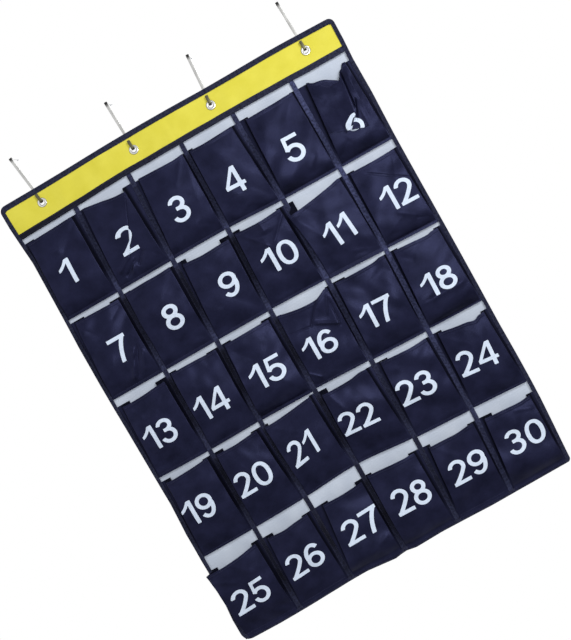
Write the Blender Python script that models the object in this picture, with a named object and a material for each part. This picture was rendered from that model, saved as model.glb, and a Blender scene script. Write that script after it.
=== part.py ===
"""Wall chart of numbered phone pockets that hangs from four over-door hooks.

Metres, +Z up. The front faces -Y and +X is to the viewer's right. The origin lies on the
door's top edge, on its front face, midway between the hooks. Each layer of cloth has a
depth, which is its distance in front of the door's face, so a depth d lies at y = -d.
"""

import math

import bmesh
import bpy
from mathutils import Vector

# Grid of pockets
COLUMNS = 6
ROWS = 5
COLUMN_PITCH = 0.101
ROW_PITCH = 0.150
MOUTH_WINDOW = 0.014
LAST_MOUTH_WINDOW = 0.024

# Header and trims, as seen from the front
BAND_HEIGHT = 0.041
HEADER_TAPE_WIDTH = 0.008
DIVIDER_WIDTH = 0.008
BINDING_WIDTH = 0.007
CORNER_INNER_RADIUS = 0.003
CORNER_STEPS = 4
STIFFENER_MARGIN = 0.002

# Thicknesses, and the gap that two layers sewn together keep
BACK_THICKNESS = 0.0006
STIFFENER_THICKNESS = 0.0006
CLOTH_THICKNESS = 0.0006
BAND_THICKNESS = 0.0005
TAPE_THICKNESS = 0.0005
LAYER_GAP = 0.0003

# Over-door hooks, each a bent steel strip
HOOK_LEANS_DEG = (-8.0, -2.6, 3.3, -2.6)
HOOK_WIDTH = 0.005
HOOK_THICKNESS = 0.0012
HOOK_REACH = 0.089
HOOK_BEND_RADIUS = 0.0015
HOOK_BEND_STEPS = 4
DOOR_GAP = 0.045
BACK_LEG_LENGTH = 0.030
TIP_RISE = 0.017
TIP_CLEARANCE = 0.0005
TIP_BEND_STEPS = 10

# Eyelets, each with a washer behind the cloth
EYELET_DROP = 0.0245
EYELET_END_INSET = 0.064
EYELET_INNER_SPACING = 0.144
EYELET_PLAY = 0.0015
BARREL_WALL = 0.0004
FLANGE_REACH = 0.00335
FLANGE_THICKNESS = 0.0007
ROLL_REACH = 0.0012
ROLL_THICKNESS = 0.0005
EDGE_CHAMFER = 0.0002
WASHER_REACH = 0.0025
WASHER_THICKNESS = 0.0006
ROUND_STEPS = 20
FLANGE_RIM_SHARE = 0.45
FLANGE_CREST_SHARE = 0.55

# Pocket cloth
POCKET_DEPTH = 0.012
SEAM_ALLOWANCE = 0.0025
FOLD_GAP = 0.0005
PLEAT_INSET = 0.011
EDGE_INSET = 0.005
SEAM_FOLD_STEP = 0.002
PLEAT_DEPTH_SHARE = 0.5
BULGE_SHARE = 0.14
SEAM_CATCH_SHARE = 0.6
# Heights of the cross-sections above the seam, and how far each one is opened
LEVEL_HEIGHT_SHARES = (0.0, 0.08, 0.32, 0.68, 1.0)
LEVEL_OPEN_SHARES = (0.0, 0.5, 0.84, 1.0, 1.0)
# How far the mouth droops at the left fold, the middle and the right fold
MOUTH_DROOP = 0.010
USUAL_DROOP_SHARES = (0.20, 0.30, 0.20)
DROOP_SHARES = {
    2: (0.10, 0.45, 0.95),
    5: (0.10, 0.20, 0.35),
    6: (0.25, 1.05, 1.35),
    9: (0.25, 0.55, 0.35),
    10: (0.25, 0.55, 0.25),
    11: (1.60, 1.05, 0.45),
    13: (0.35, 0.70, 0.40),
    16: (0.55, 1.00, 0.55),
    18: (0.15, 0.55, 0.65),
    20: (0.10, 0.40, 0.25),
    21: (0.45, 0.40, 0.15),
    22: (0.30, 0.45, 0.10),
    24: (0.25, 1.25, 1.35),
    25: (0.95, 0.75, 0.20),
    30: (0.30, 0.65, 0.60),
}


# Sizes that follow from those above
GRID_WIDTH = COLUMNS * COLUMN_PITCH
SHEET_HALF_WIDTH = GRID_WIDTH / 2 + BINDING_WIDTH
CORNER_RADIUS = BINDING_WIDTH + CORNER_INNER_RADIUS
EYELET_HEIGHT = -HOOK_REACH
SHEET_TOP = EYELET_HEIGHT + EYELET_DROP
BAND_BOTTOM = SHEET_TOP - BINDING_WIDTH - BAND_HEIGHT
GRID_TOP = BAND_BOTTOM - HEADER_TAPE_WIDTH
GRID_BOTTOM = GRID_TOP - ROWS * ROW_PITCH
SHEET_BOTTOM = GRID_BOTTOM - BINDING_WIDTH
EYELET_OUTER = SHEET_HALF_WIDTH - EYELET_END_INSET
EYELET_INNER = EYELET_INNER_SPACING / 2
EYELET_PLACES = (-EYELET_OUTER, -EYELET_INNER, EYELET_INNER, EYELET_OUTER)
BORE_RADIUS = HOOK_WIDTH / 2 + EYELET_PLAY
BARREL_RADIUS = BORE_RADIUS + BARREL_WALL
HOLE_RADIUS = BARREL_RADIUS + LAYER_GAP
UNDER_BINDING = BINDING_WIDTH - TAPE_THICKNESS - LAYER_GAP

# Depths of the layers' back faces
ROLL_DEPTH = HOOK_THICKNESS + LAYER_GAP
WASHER_DEPTH = ROLL_DEPTH + ROLL_THICKNESS + LAYER_GAP
BACK_DEPTH = WASHER_DEPTH + WASHER_THICKNESS + LAYER_GAP
CORE_DEPTH = BACK_DEPTH + BACK_THICKNESS + LAYER_GAP
FACE_DEPTH = CORE_DEPTH + max(STIFFENER_THICKNESS, CLOTH_THICKNESS) + LAYER_GAP
TRIM_DEPTH = FACE_DEPTH + max(BAND_THICKNESS, TAPE_THICKNESS) + LAYER_GAP
BINDING_BACK_DEPTH = BACK_DEPTH - LAYER_GAP - TAPE_THICKNESS
FLANGE_FRONT = TRIM_DEPTH + FLANGE_THICKNESS
TIP_DEPTH = FLANGE_FRONT + TIP_CLEARANCE


def clear_scene():
    for obj in list(bpy.data.objects):
        bpy.data.objects.remove(obj)


def material(name, colour, roughness, metallic=0.0):
    made = bpy.data.materials.new(name)
    made.use_nodes = True
    shader = made.node_tree.nodes["Principled BSDF"]
    shader.inputs["Base Color"].default_value = (*colour, 1.0)
    shader.inputs["Roughness"].default_value = roughness
    shader.inputs["Metallic"].default_value = metallic
    return made


def add_mesh(name, bm, finish, smooth_angle=None):
    """Turns the bmesh into a named object with outward normals."""
    bmesh.ops.recalc_face_normals(bm, faces=bm.faces)
    mesh = bpy.data.meshes.new(name)
    bm.to_mesh(mesh)
    bm.free()
    mesh.materials.append(finish)
    if smooth_angle is not None:
        mesh.shade_smooth()
        mesh.set_sharp_from_angle(angle=smooth_angle)
    obj = bpy.data.objects.new(name, mesh)
    bpy.context.scene.collection.objects.link(obj)
    return obj


def loft(bm, loops, ring_ends=False):
    """Joins closed loops of points into a skin. Its two ends get one face each, or a strip of
    faces where a loop is an outer line followed by the inner line in reverse."""
    rings = [[bm.verts.new(point) for point in loop] for loop in loops]
    count = len(rings[0])
    for low, high in zip(rings, rings[1:]):
        for i in range(count):
            j = (i + 1) % count
            bm.faces.new((low[i], low[j], high[j], high[i]))
    for ring in (rings[0], rings[-1]):
        if not ring_ends:
            bm.faces.new(ring)
            continue
        for i in range(count // 2 - 1):
            bm.faces.new((ring[i], ring[i + 1], ring[count - 2 - i], ring[count - 1 - i]))


def arc(centre, radius, start_deg, end_deg, steps):
    """Points along an arc in a plane, both ends included."""
    points = []
    for i in range(steps + 1):
        angle = math.radians(start_deg + (end_deg - start_deg) * i / steps)
        points.append((centre[0] + radius * math.cos(angle), centre[1] + radius * math.sin(angle)))
    return points


def rounded_rectangle(half_width, bottom, top, radius):
    corners = (
        ((half_width - radius, top - radius), 90, 0),
        ((half_width - radius, bottom + radius), 0, -90),
        ((radius - half_width, bottom + radius), -90, -180),
        ((radius - half_width, top - radius), 180, 90),
    )
    return [p for centre, start, end in corners for p in arc(centre, radius, start, end, CORNER_STEPS)]


def rectangle(left, right, bottom, top):
    return [(left, bottom), (right, bottom), (right, top), (left, top)]


def plate(name, outline, depth, thickness, finish, holes=()):
    """A flat sheet parallel to the door, cut to an outline in X and Z, with round holes."""
    shape = bpy.data.curves.new(name, "CURVE")
    shape.dimensions = "2D"
    shape.fill_mode = "BOTH"
    shape.extrude = thickness / 2
    rims = [arc(centre, HOLE_RADIUS, 0, 360, ROUND_STEPS)[:-1] for centre in holes]
    for line in [outline, *rims]:
        spline = shape.splines.new("POLY")
        spline.points.add(len(line) - 1)
        for point, (x, z) in zip(spline.points, line):
            point.co = (x, z, 0.0, 1.0)
        spline.use_cyclic_u = True
    shape.materials.append(finish)
    obj = bpy.data.objects.new(name, shape)
    obj.location = (0.0, -depth - thickness / 2, 0.0)
    obj.rotation_euler = (math.pi / 2, 0.0, 0.0)
    bpy.context.scene.collection.objects.link(obj)
    return obj


def turned(name, profile, x, finish):
    """A ring turned about the eyelet's axis from a closed profile of (radius, depth) points."""
    bm = bmesh.new()
    verts = [bm.verts.new((radius, -depth, 0.0)) for radius, depth in profile]
    edges = [bm.edges.new((a, b)) for a, b in zip(verts, verts[1:] + verts[:1])]
    bmesh.ops.spin(
        bm,
        geom=verts + edges,
        cent=(0.0, 0.0, 0.0),
        axis=(0.0, 1.0, 0.0),
        angle=math.tau,
        steps=ROUND_STEPS,
        use_merge=True,
    )
    obj = add_mesh(name, bm, finish, math.radians(40))
    obj.location = (x, 0.0, EYELET_HEIGHT)
    return obj


def make_sheets(grey, yellow, board, navy_tape):
    eyelets = [(x, EYELET_HEIGHT) for x in EYELET_PLACES]
    inset = TAPE_THICKNESS + LAYER_GAP
    plate(
        "back_panel",
        rounded_rectangle(
            SHEET_HALF_WIDTH - inset, SHEET_BOTTOM + inset, SHEET_TOP - inset, CORNER_RADIUS - inset
        ),
        BACK_DEPTH,
        BACK_THICKNESS,
        grey,
        eyelets,
    )
    inner_half = GRID_WIDTH / 2 - STIFFENER_MARGIN
    plate(
        "header_stiffener",
        rectangle(
            -inner_half,
            inner_half,
            BAND_BOTTOM + STIFFENER_MARGIN,
            BAND_BOTTOM + BAND_HEIGHT - STIFFENER_MARGIN,
        ),
        CORE_DEPTH,
        STIFFENER_THICKNESS,
        board,
        eyelets,
    )
    # The band's lower edge ends behind the middle of the header tape.
    band_half = SHEET_HALF_WIDTH - CORNER_RADIUS
    plate(
        "header_band",
        rectangle(
            -band_half - CORNER_INNER_RADIUS,
            band_half + CORNER_INNER_RADIUS,
            BAND_BOTTOM - HEADER_TAPE_WIDTH / 2,
            BAND_BOTTOM + BAND_HEIGHT + CORNER_INNER_RADIUS,
        ),
        FACE_DEPTH,
        BAND_THICKNESS,
        yellow,
        eyelets,
    )
    tape_half = GRID_WIDTH / 2 - LAYER_GAP
    plate(
        "header_tape",
        rectangle(-tape_half, tape_half, GRID_TOP, BAND_BOTTOM),
        TRIM_DEPTH,
        TAPE_THICKNESS,
        navy_tape,
    )
    divider_top = BAND_BOTTOM - HEADER_TAPE_WIDTH / 2 - LAYER_GAP
    for column in range(1, COLUMNS):
        middle = column * COLUMN_PITCH - GRID_WIDTH / 2
        plate(
            f"divider_tape_{column}",
            rectangle(
                middle - DIVIDER_WIDTH / 2,
                middle + DIVIDER_WIDTH / 2,
                GRID_BOTTOM - UNDER_BINDING / 2,
                divider_top,
            ),
            FACE_DEPTH,
            TAPE_THICKNESS,
            navy_tape,
        )


def make_binding(name, stations, finish):
    """A tape folded round the sheet's edge. A station is a point of the edge in X and Z, and
    the direction from there into the sheet."""
    back = BINDING_BACK_DEPTH
    front = TRIM_DEPTH + TAPE_THICKNESS
    wall = TAPE_THICKNESS
    profile = (
        (wall, back),
        (0.0, back + wall),
        (0.0, front - wall),
        (wall, front),
        (BINDING_WIDTH, front),
        (BINDING_WIDTH, front - wall),
        (wall, front - wall),
        (wall, back + wall),
        (BINDING_WIDTH, back + wall),
        (BINDING_WIDTH, back),
    )
    bm = bmesh.new()
    loft(
        bm,
        [
            [(x + inward[0] * reach, -depth, z + inward[1] * reach) for reach, depth in profile]
            for (x, z), inward in stations
        ],
    )
    add_mesh(name, bm, finish, math.radians(50))


def corner_stations(side, end, turn):
    """The stations round one corner: side is -1 or 1 for left or right, end for bottom or top."""
    centre = (
        side * (SHEET_HALF_WIDTH - CORNER_RADIUS),
        (SHEET_TOP - CORNER_RADIUS) if end > 0 else (SHEET_BOTTOM + CORNER_RADIUS),
    )
    stations = []
    for i in range(CORNER_STEPS + 1):
        angle = math.radians(turn[0] + (turn[1] - turn[0]) * i / CORNER_STEPS)
        outward = (math.cos(angle), math.sin(angle))
        point = (centre[0] + CORNER_RADIUS * outward[0], centre[1] + CORNER_RADIUS * outward[1])
        stations.append((point, (-outward[0], -outward[1])))
    return stations


def make_bindings(finish):
    top = corner_stations(-1, 1, (180, 90)) + corner_stations(1, 1, (90, 0))
    bottom = corner_stations(-1, -1, (180, 270)) + corner_stations(1, -1, (270, 360))
    make_binding("binding_top", top, finish)
    make_binding("binding_bottom", bottom, finish)
    high = SHEET_TOP - CORNER_RADIUS - LAYER_GAP
    low = SHEET_BOTTOM + CORNER_RADIUS + LAYER_GAP
    for name, side in (("binding_left", -1), ("binding_right", 1)):
        edge = side * SHEET_HALF_WIDTH
        make_binding(name, [((edge, low), (-side, 0.0)), ((edge, high), (-side, 0.0))], finish)


def make_eyelets(nickel):
    roll = BARREL_RADIUS + ROLL_REACH
    rim = BARREL_RADIUS + FLANGE_REACH
    crest = BORE_RADIUS + (rim - BORE_RADIUS) * FLANGE_CREST_SHARE
    eyelet = (
        (BORE_RADIUS, ROLL_DEPTH + EDGE_CHAMFER),
        (BORE_RADIUS + EDGE_CHAMFER, ROLL_DEPTH),
        (roll, ROLL_DEPTH + EDGE_CHAMFER),
        (roll, ROLL_DEPTH + ROLL_THICKNESS),
        (BARREL_RADIUS, ROLL_DEPTH + ROLL_THICKNESS),
        (BARREL_RADIUS, TRIM_DEPTH),
        (rim, TRIM_DEPTH),
        (rim, TRIM_DEPTH + FLANGE_THICKNESS * FLANGE_RIM_SHARE),
        (crest, FLANGE_FRONT),
        (BORE_RADIUS + EDGE_CHAMFER, FLANGE_FRONT),
        (BORE_RADIUS, FLANGE_FRONT - EDGE_CHAMFER),
    )
    inner = BARREL_RADIUS + LAYER_GAP
    outer = roll + WASHER_REACH
    front = WASHER_DEPTH + WASHER_THICKNESS
    washer = (
        (inner, WASHER_DEPTH),
        (outer, WASHER_DEPTH + EDGE_CHAMFER),
        (outer, front),
        (inner, front),
    )
    for number, x in enumerate(EYELET_PLACES, 1):
        turned(f"eyelet_{number}", eyelet, x, nickel)
        turned(f"eyelet_washer_{number}", washer, x, nickel)


def hook_path():
    """The strip's middle line as (y, height above the eyelet's centre) points, from the end of
    the leg behind the door to the upturned tip, each with the normal across the strip."""
    half = HOOK_THICKNESS / 2
    shoulder = HOOK_REACH - HOOK_BEND_RADIUS
    # The strip crosses the bore in its upper half, clear of the bore's wall at both its ends.
    tip_radius = (TIP_DEPTH - HOOK_THICKNESS) / 2
    tip_centre_depth = HOOK_THICKNESS + tip_radius
    bore_half = max(tip_centre_depth - ROLL_DEPTH, FLANGE_FRONT - tip_centre_depth)
    room = math.sqrt((BORE_RADIUS - LAYER_GAP) ** 2 - (HOOK_WIDTH / 2) ** 2)
    tip_height = room + math.sqrt(tip_radius**2 - bore_half**2)
    bends = (
        ((DOOR_GAP - HOOK_BEND_RADIUS, shoulder), HOOK_BEND_RADIUS, 0, 90, HOOK_BEND_STEPS),
        ((HOOK_BEND_RADIUS, shoulder), HOOK_BEND_RADIUS, 90, 180, HOOK_BEND_STEPS),
    )
    line = [((DOOR_GAP + half, HOOK_REACH - BACK_LEG_LENGTH), (1.0, 0.0))]
    for centre, radius, start, end, steps in bends:
        normals = arc((0.0, 0.0), 1.0, start, end, steps)
        line += list(zip(arc(centre, radius + half, start, end, steps), normals))
    centre = (-tip_centre_depth, tip_height)
    normals = [(-y, -z) for y, z in arc((0.0, 0.0), 1.0, 0, -180, TIP_BEND_STEPS)]
    line += list(zip(arc(centre, tip_radius + half, 0, -180, TIP_BEND_STEPS), normals))
    line.append(((-TIP_DEPTH - half, TIP_RISE), (1.0, 0.0)))
    return line


def make_hooks(steel):
    half_width = HOOK_WIDTH / 2
    half = HOOK_THICKNESS / 2
    for number, (x, lean) in enumerate(zip(EYELET_PLACES, HOOK_LEANS_DEG), 1):
        pivot = bpy.data.objects.new(f"hook_pivot_{number}", None)
        pivot.location = (x, 0.0, EYELET_HEIGHT)
        pivot.rotation_euler = (0.0, math.radians(lean), 0.0)
        bpy.context.scene.collection.objects.link(pivot)
        bm = bmesh.new()
        loops = []
        for (y, z), (ny, nz) in hook_path():
            loops.append(
                [
                    (-half_width, y - ny * half, z - nz * half),
                    (half_width, y - ny * half, z - nz * half),
                    (half_width, y + ny * half, z + nz * half),
                    (-half_width, y + ny * half, z + nz * half),
                ]
            )
        loft(bm, loops)
        hook = add_mesh(f"door_hook_{number}", bm, steel, math.radians(40))
        hook.parent = pivot


def offset_line(line, distance):
    """The open line moved sideways by distance, with mitred corners."""
    moved = []
    for i, point in enumerate(line):
        before = Vector(point) - Vector(line[i - 1]) if i else None
        after = Vector(line[i + 1]) - Vector(point) if i + 1 < len(line) else None
        normals = [Vector((-d.y, d.x)).normalized() for d in (before, after) if d is not None]
        mitre = sum(normals, Vector((0.0, 0.0))).normalized()
        moved.append(Vector(point) + mitre * (distance / mitre.dot(normals[0])))
    return moved


def pleated_side(side, open_share, outer):
    """One side of a pocket's cross-section, from the sewn-down end to the fold at the front,
    as (x, depth in front of the sewn cloth). The pleat lies flat at the seam."""
    fold_root = COLUMN_PITCH / 2 - FOLD_GAP - (0.0 if outer else DIVIDER_WIDTH / 2)
    end = COLUMN_PITCH / 2 + (UNDER_BINDING * SEAM_CATCH_SHARE if outer else -LAYER_GAP)
    sewn = (fold_root - SEAM_FOLD_STEP, fold_root - 2 * SEAM_FOLD_STEP)
    opened = (fold_root - PLEAT_INSET, fold_root - EDGE_INSET)
    depths = (POCKET_DEPTH * PLEAT_DEPTH_SHARE, POCKET_DEPTH)
    points = [(end, 0.0), (fold_root, 0.0)]
    for flat, wide, depth in zip(sewn, opened, depths):
        points.append((flat + (wide - flat) * open_share, depth * open_share))
    return [(side * x, depth) for x, depth in points]


def cross_section(column, open_share):
    left = pleated_side(-1, open_share, column == 0)
    right = pleated_side(1, open_share, column == COLUMNS - 1)
    bulge = (0.0, POCKET_DEPTH * (1 + BULGE_SHARE) * open_share)
    return left + [bulge] + right[::-1]


def mouth_droops(number):
    """How far each point of the cross-section lies below the mouth's sewn ends."""
    left, middle, right = (
        share * MOUTH_DROOP for share in DROOP_SHARES.get(number, USUAL_DROOP_SHARES)
    )
    return [0.0, 0.0, left / 2, left, middle, right, right / 2, 0.0, 0.0]


def make_pocket(number, finish):
    row, column = divmod(number - 1, COLUMNS)
    middle = (column + 0.5) * COLUMN_PITCH - GRID_WIDTH / 2
    seam = GRID_TOP - (row + 1) * ROW_PITCH
    last = row == ROWS - 1
    foot = seam - (UNDER_BINDING * SEAM_CATCH_SHARE) if last else seam + LAYER_GAP
    pleats_start = seam + SEAM_ALLOWANCE
    mouth = seam + ROW_PITCH - (LAST_MOUTH_WINDOW if last else MOUTH_WINDOW)
    droops = mouth_droops(number)
    levels = [(foot, 0.0, 0.0)]
    for height_share, open_share in zip(LEVEL_HEIGHT_SHARES, LEVEL_OPEN_SHARES):
        levels.append((pleats_start + (mouth - pleats_start) * height_share, open_share, height_share))
    base = CORE_DEPTH + CLOTH_THICKNESS / 2
    loops = []
    for height, open_share, droop_share in levels:
        line = cross_section(column, open_share)
        heights = [height - droop * droop_share for droop in droops]
        outer = zip(offset_line(line, CLOTH_THICKNESS / 2), heights)
        inner = zip(offset_line(line, -CLOTH_THICKNESS / 2), heights)
        loop = list(outer) + list(inner)[::-1]
        loops.append([(middle + p.x, -base - p.y, z) for p, z in loop])
    bm = bmesh.new()
    loft(bm, loops, ring_ends=True)
    add_mesh(f"pocket_{number:02d}", bm, finish, math.radians(35))


def main():
    clear_scene()
    navy_cloth = material("navy_oxford", (0.018, 0.019, 0.048), 0.55)
    navy_tape = material("navy_tape", (0.026, 0.026, 0.055), 0.75)
    grey = material("grey_backing", (0.46, 0.52, 0.60), 0.85)
    yellow = material("yellow_oxford", (0.75, 0.68, 0.10), 0.65)
    board = material("stiffener_board", (0.60, 0.60, 0.58), 0.6)
    nickel = material("nickel", (0.72, 0.70, 0.68), 0.25, 1.0)
    steel = material("hook_steel", (0.70, 0.70, 0.71), 0.3, 1.0)
    make_sheets(grey, yellow, board, navy_tape)
    make_bindings(navy_tape)
    make_eyelets(nickel)
    make_hooks(steel)
    for number in range(1, ROWS * COLUMNS + 1):
        make_pocket(number, navy_cloth)


main()
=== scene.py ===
"""Looks of the wall chart of thirty numbered pockets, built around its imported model.

Every piece of cloth is first laid out flat, in the places that the frame gives. The hang
function then gives all of it the one shape in which the chart hangs from its hooks.
"""

import math

import bmesh
import bpy
import numpy as np
from mathutils import Euler, Matrix, Vector


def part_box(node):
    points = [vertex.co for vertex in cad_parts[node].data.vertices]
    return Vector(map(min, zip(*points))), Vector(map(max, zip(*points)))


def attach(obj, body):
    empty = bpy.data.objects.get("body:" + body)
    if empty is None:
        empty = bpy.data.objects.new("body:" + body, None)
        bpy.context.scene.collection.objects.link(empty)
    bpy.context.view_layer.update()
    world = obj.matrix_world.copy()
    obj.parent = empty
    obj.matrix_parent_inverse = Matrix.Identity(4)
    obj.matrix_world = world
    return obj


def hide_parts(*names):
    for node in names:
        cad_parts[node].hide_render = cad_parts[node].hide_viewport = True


MM = 0.001

# Camera, in the photograph's pixels and in metres
IMAGE_HEIGHT = 640
FOCAL_PIXELS = 1232.8
CAMERA_PLACE = (0.2309, -1.9861, -0.3717)
CAMERA_PITCH = -0.0384
CAMERA_YAW = 0.1116
CAMERA_ROLL = -0.5074

# How far the hanging chart departs from the flat layout, as shares of this length. A row of
# the tables is a level: the top edge, the five rows' tops and the bottom edge. A column is
# the left edge, the five divider tapes and the right edge.
HANG_SHIFT = 10 * MM
SWAY_SHARES = (
    (-0.28, 0.00, 0.10, 0.00, -0.20, 0.00, -0.40),
    (-0.24, 0.00, 0.21, 0.03, -0.55, 0.02, -0.50),
    (-0.03, -0.36, -0.30, -0.07, -0.08, 0.19, -0.55),
    (-0.01, -0.27, -0.49, -0.43, -0.10, 0.34, -0.41),
    (0.30, -0.18, -0.69, -0.48, -0.20, 0.00, -0.29),
    (0.70, -0.08, -0.24, -0.40, -0.10, -0.01, -0.30),
    (0.25, 0.04, -0.09, -0.23, -0.46, -0.69, -0.85),
)
LIFT_SHARES = (
    (0.07, 0.17, 0.37, 0.40, 0.29, 0.31, 0.07),
    (-0.44, -0.08, 0.26, 0.28, 0.32, 0.15, 0.02),
    (-0.59, -0.45, -0.28, -0.21, -0.55, -0.63, -0.62),
    (-0.53, -0.36, -0.16, -0.05, -0.15, -0.41, -0.66),
    (-0.47, -0.39, -0.09, 0.06, -0.05, -0.18, -0.20),
    (-0.58, -0.26, 0.29, 1.06, 0.57, 0.32, 0.05),
    (-0.44, -0.32, 0.29, 0.22, 0.57, 0.73, 1.26),
)
# How far it stands forward of flat, as shares of the same length
FORWARD_SHARES = (
    (0.10, 0.05, 0.12, 0.10, 0.12, 0.05, 0.10),
    (0.15, 0.08, 0.10, 0.18, 0.10, 0.08, 0.12),
    (0.25, 0.12, 0.22, 0.10, 0.20, 0.10, 0.22),
    (0.35, 0.18, 0.15, 0.28, 0.15, 0.25, 0.18),
    (0.30, 0.32, 0.12, 0.22, 0.30, 0.15, 0.30),
    (0.45, 0.28, 0.35, 0.10, 0.38, 0.25, 0.50),
    (0.70, 0.30, 0.55, 0.15, 0.50, 0.30, 0.85),
)
# How far round itself an eyelet holds the cloth
EYELET_HOLD = 30 * MM

# Cloth
CLOTH_THICKNESS = 0.6 * MM
HEM_WIDTH = 5 * MM
HEM_STEP = 0.35 * MM
HEM_EDGE = 0.6 * MM
STITCH_DENT = 0.7 * MM
SEAM_HEIGHT = 3.5 * MM
FOOT_LAYER = 0.9 * MM
FOOT_INSET = 1.5 * MM
FOOT_FADE = 12 * MM
# How far each row hangs below its own seam, and how much farther single pockets do
FOOT_DROPS = (1.4 * MM, 1.8 * MM, 1.1 * MM, 0.3 * MM, 0.0)
EXTRA_DROPS = {10: -0.8 * MM, 11: 1.2 * MM, 15: 0.8 * MM, 16: -1.5 * MM, 18: -1.5 * MM, 23: 1.2 * MM}
# Reach of the folds at the pleats and beside the sewn ends, and the most that a fold takes up
# of the cloth between two corners
PLEAT_FOLD = 1.4 * MM
SEWN_FOLD = 0.5 * MM
FOLD_REACH_SHARE = 0.45
PLEAT_DEPTH_SHARE = 0.12
BELLY_SHARE = 0.16
# Each pocket's depth is drawn between these shares of the deepest
POCKET_SEED = 100
DEPTH_SHARES = (0.72, 0.98)
FLANGE_GAP = 0.3 * MM
# The painted shade beside the front's folded edge: its width, how much of that is full, and the
# shares of the height over which it fades in
PLEAT_SHADE = 6 * MM
SHADE_FULL_SHARE = 0.15
SHADE_FADE_SHARES = (0.06, 0.30)
# Unevenness of cloth: how many waves add up, and how their lengths vary. A wave of a pocket's
# cloth has its height and its length.
RIPPLE_COUNT = 6
RIPPLE_LENGTH_SHARES = (0.6, 1.7)
CLOTH_WAVES = ((1.3 * MM, 80 * MM), (0.351 * MM, 33 * MM))
CREASE_TIP = 0.8 * MM
CREASE_FADE_SHARE = 0.25
# A tuck's rise over the cloth below it, the reach over which that falls off, the overlap that
# gives it in full, and the share of the height where a sideways tuck's room is measured
TUCK_LAYERS = 2.4 * MM
TUCK_FALL = 22 * MM
TUCK_WIDTH = 2 * MM
TUCK_ROOM_SHARE = 0.6

# Grid of a pocket's cloth, which is finer for pockets with small creases
FRONT_COLUMNS = 34
PLEAT_COLUMNS = 8
FOLD_COLUMNS = 4
POCKET_ROWS = 46
FINENESS = {2: 3, 6: 3, 7: 2, 10: 2, 12: 3, 16: 3}
FOOT_ROW_SHARES = (0.0, 0.010, 0.019, 0.027, 0.036, 0.047, 0.062, 0.082)
MOUTH_ROW_SHARES = (0.0, 0.008, 0.016, 0.024, 0.029, 0.034, 0.038, 0.043, 0.052, 0.066)

# Numerals, in film pressed on the cloth, and their strokes' widths as shares of the height
NUMERAL_HEIGHT = 41.8 * MM
NUMERAL_SPREAD = 1.03
NUMERAL_GAP = 4.0 * MM
FILM_RISE = 0.25 * MM
FILM_CELL = 0.9 * MM
STEM_SHARE = 0.164
BAR_SHARE = 0.140
THIN_SHARE = 0.78
OVERSHOOT_SHARE = 0.012
# Steps of an arc and of a curve, how many half widths beside a stroke's end are cut square,
# and how near a corner of the film's grid its outline may cut, as a share of a cell
ARC_STEP_DEG = 6
CURVE_STEPS = 8
SQUARE_REACH = 1.5
CUT_SHARE = 0.04
# How far apart the front is looked at for its slope, as a share of its width and height
FRONT_STEP_SHARE = 0.004

# Stitches. The sewn shares are the places across a pocket through which its rows run. A stitch
# has four rings, with their place along it, their fatness and their lift off the cloth.
STITCH_PITCH = 3.0 * MM
STITCH_LENGTH_SHARE = 0.72
STITCH_RADIUS = 0.22 * MM
STITCH_INSET = 1.3 * MM
SEWN_SHARES = np.linspace(0.02, 0.98, 60)
STITCH_RING_SHARES = ((-1.0, 0.25, -0.6), (-0.6, 1.0, 0.35), (0.6, 1.0, 0.35), (1.0, 0.25, -0.6))

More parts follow.
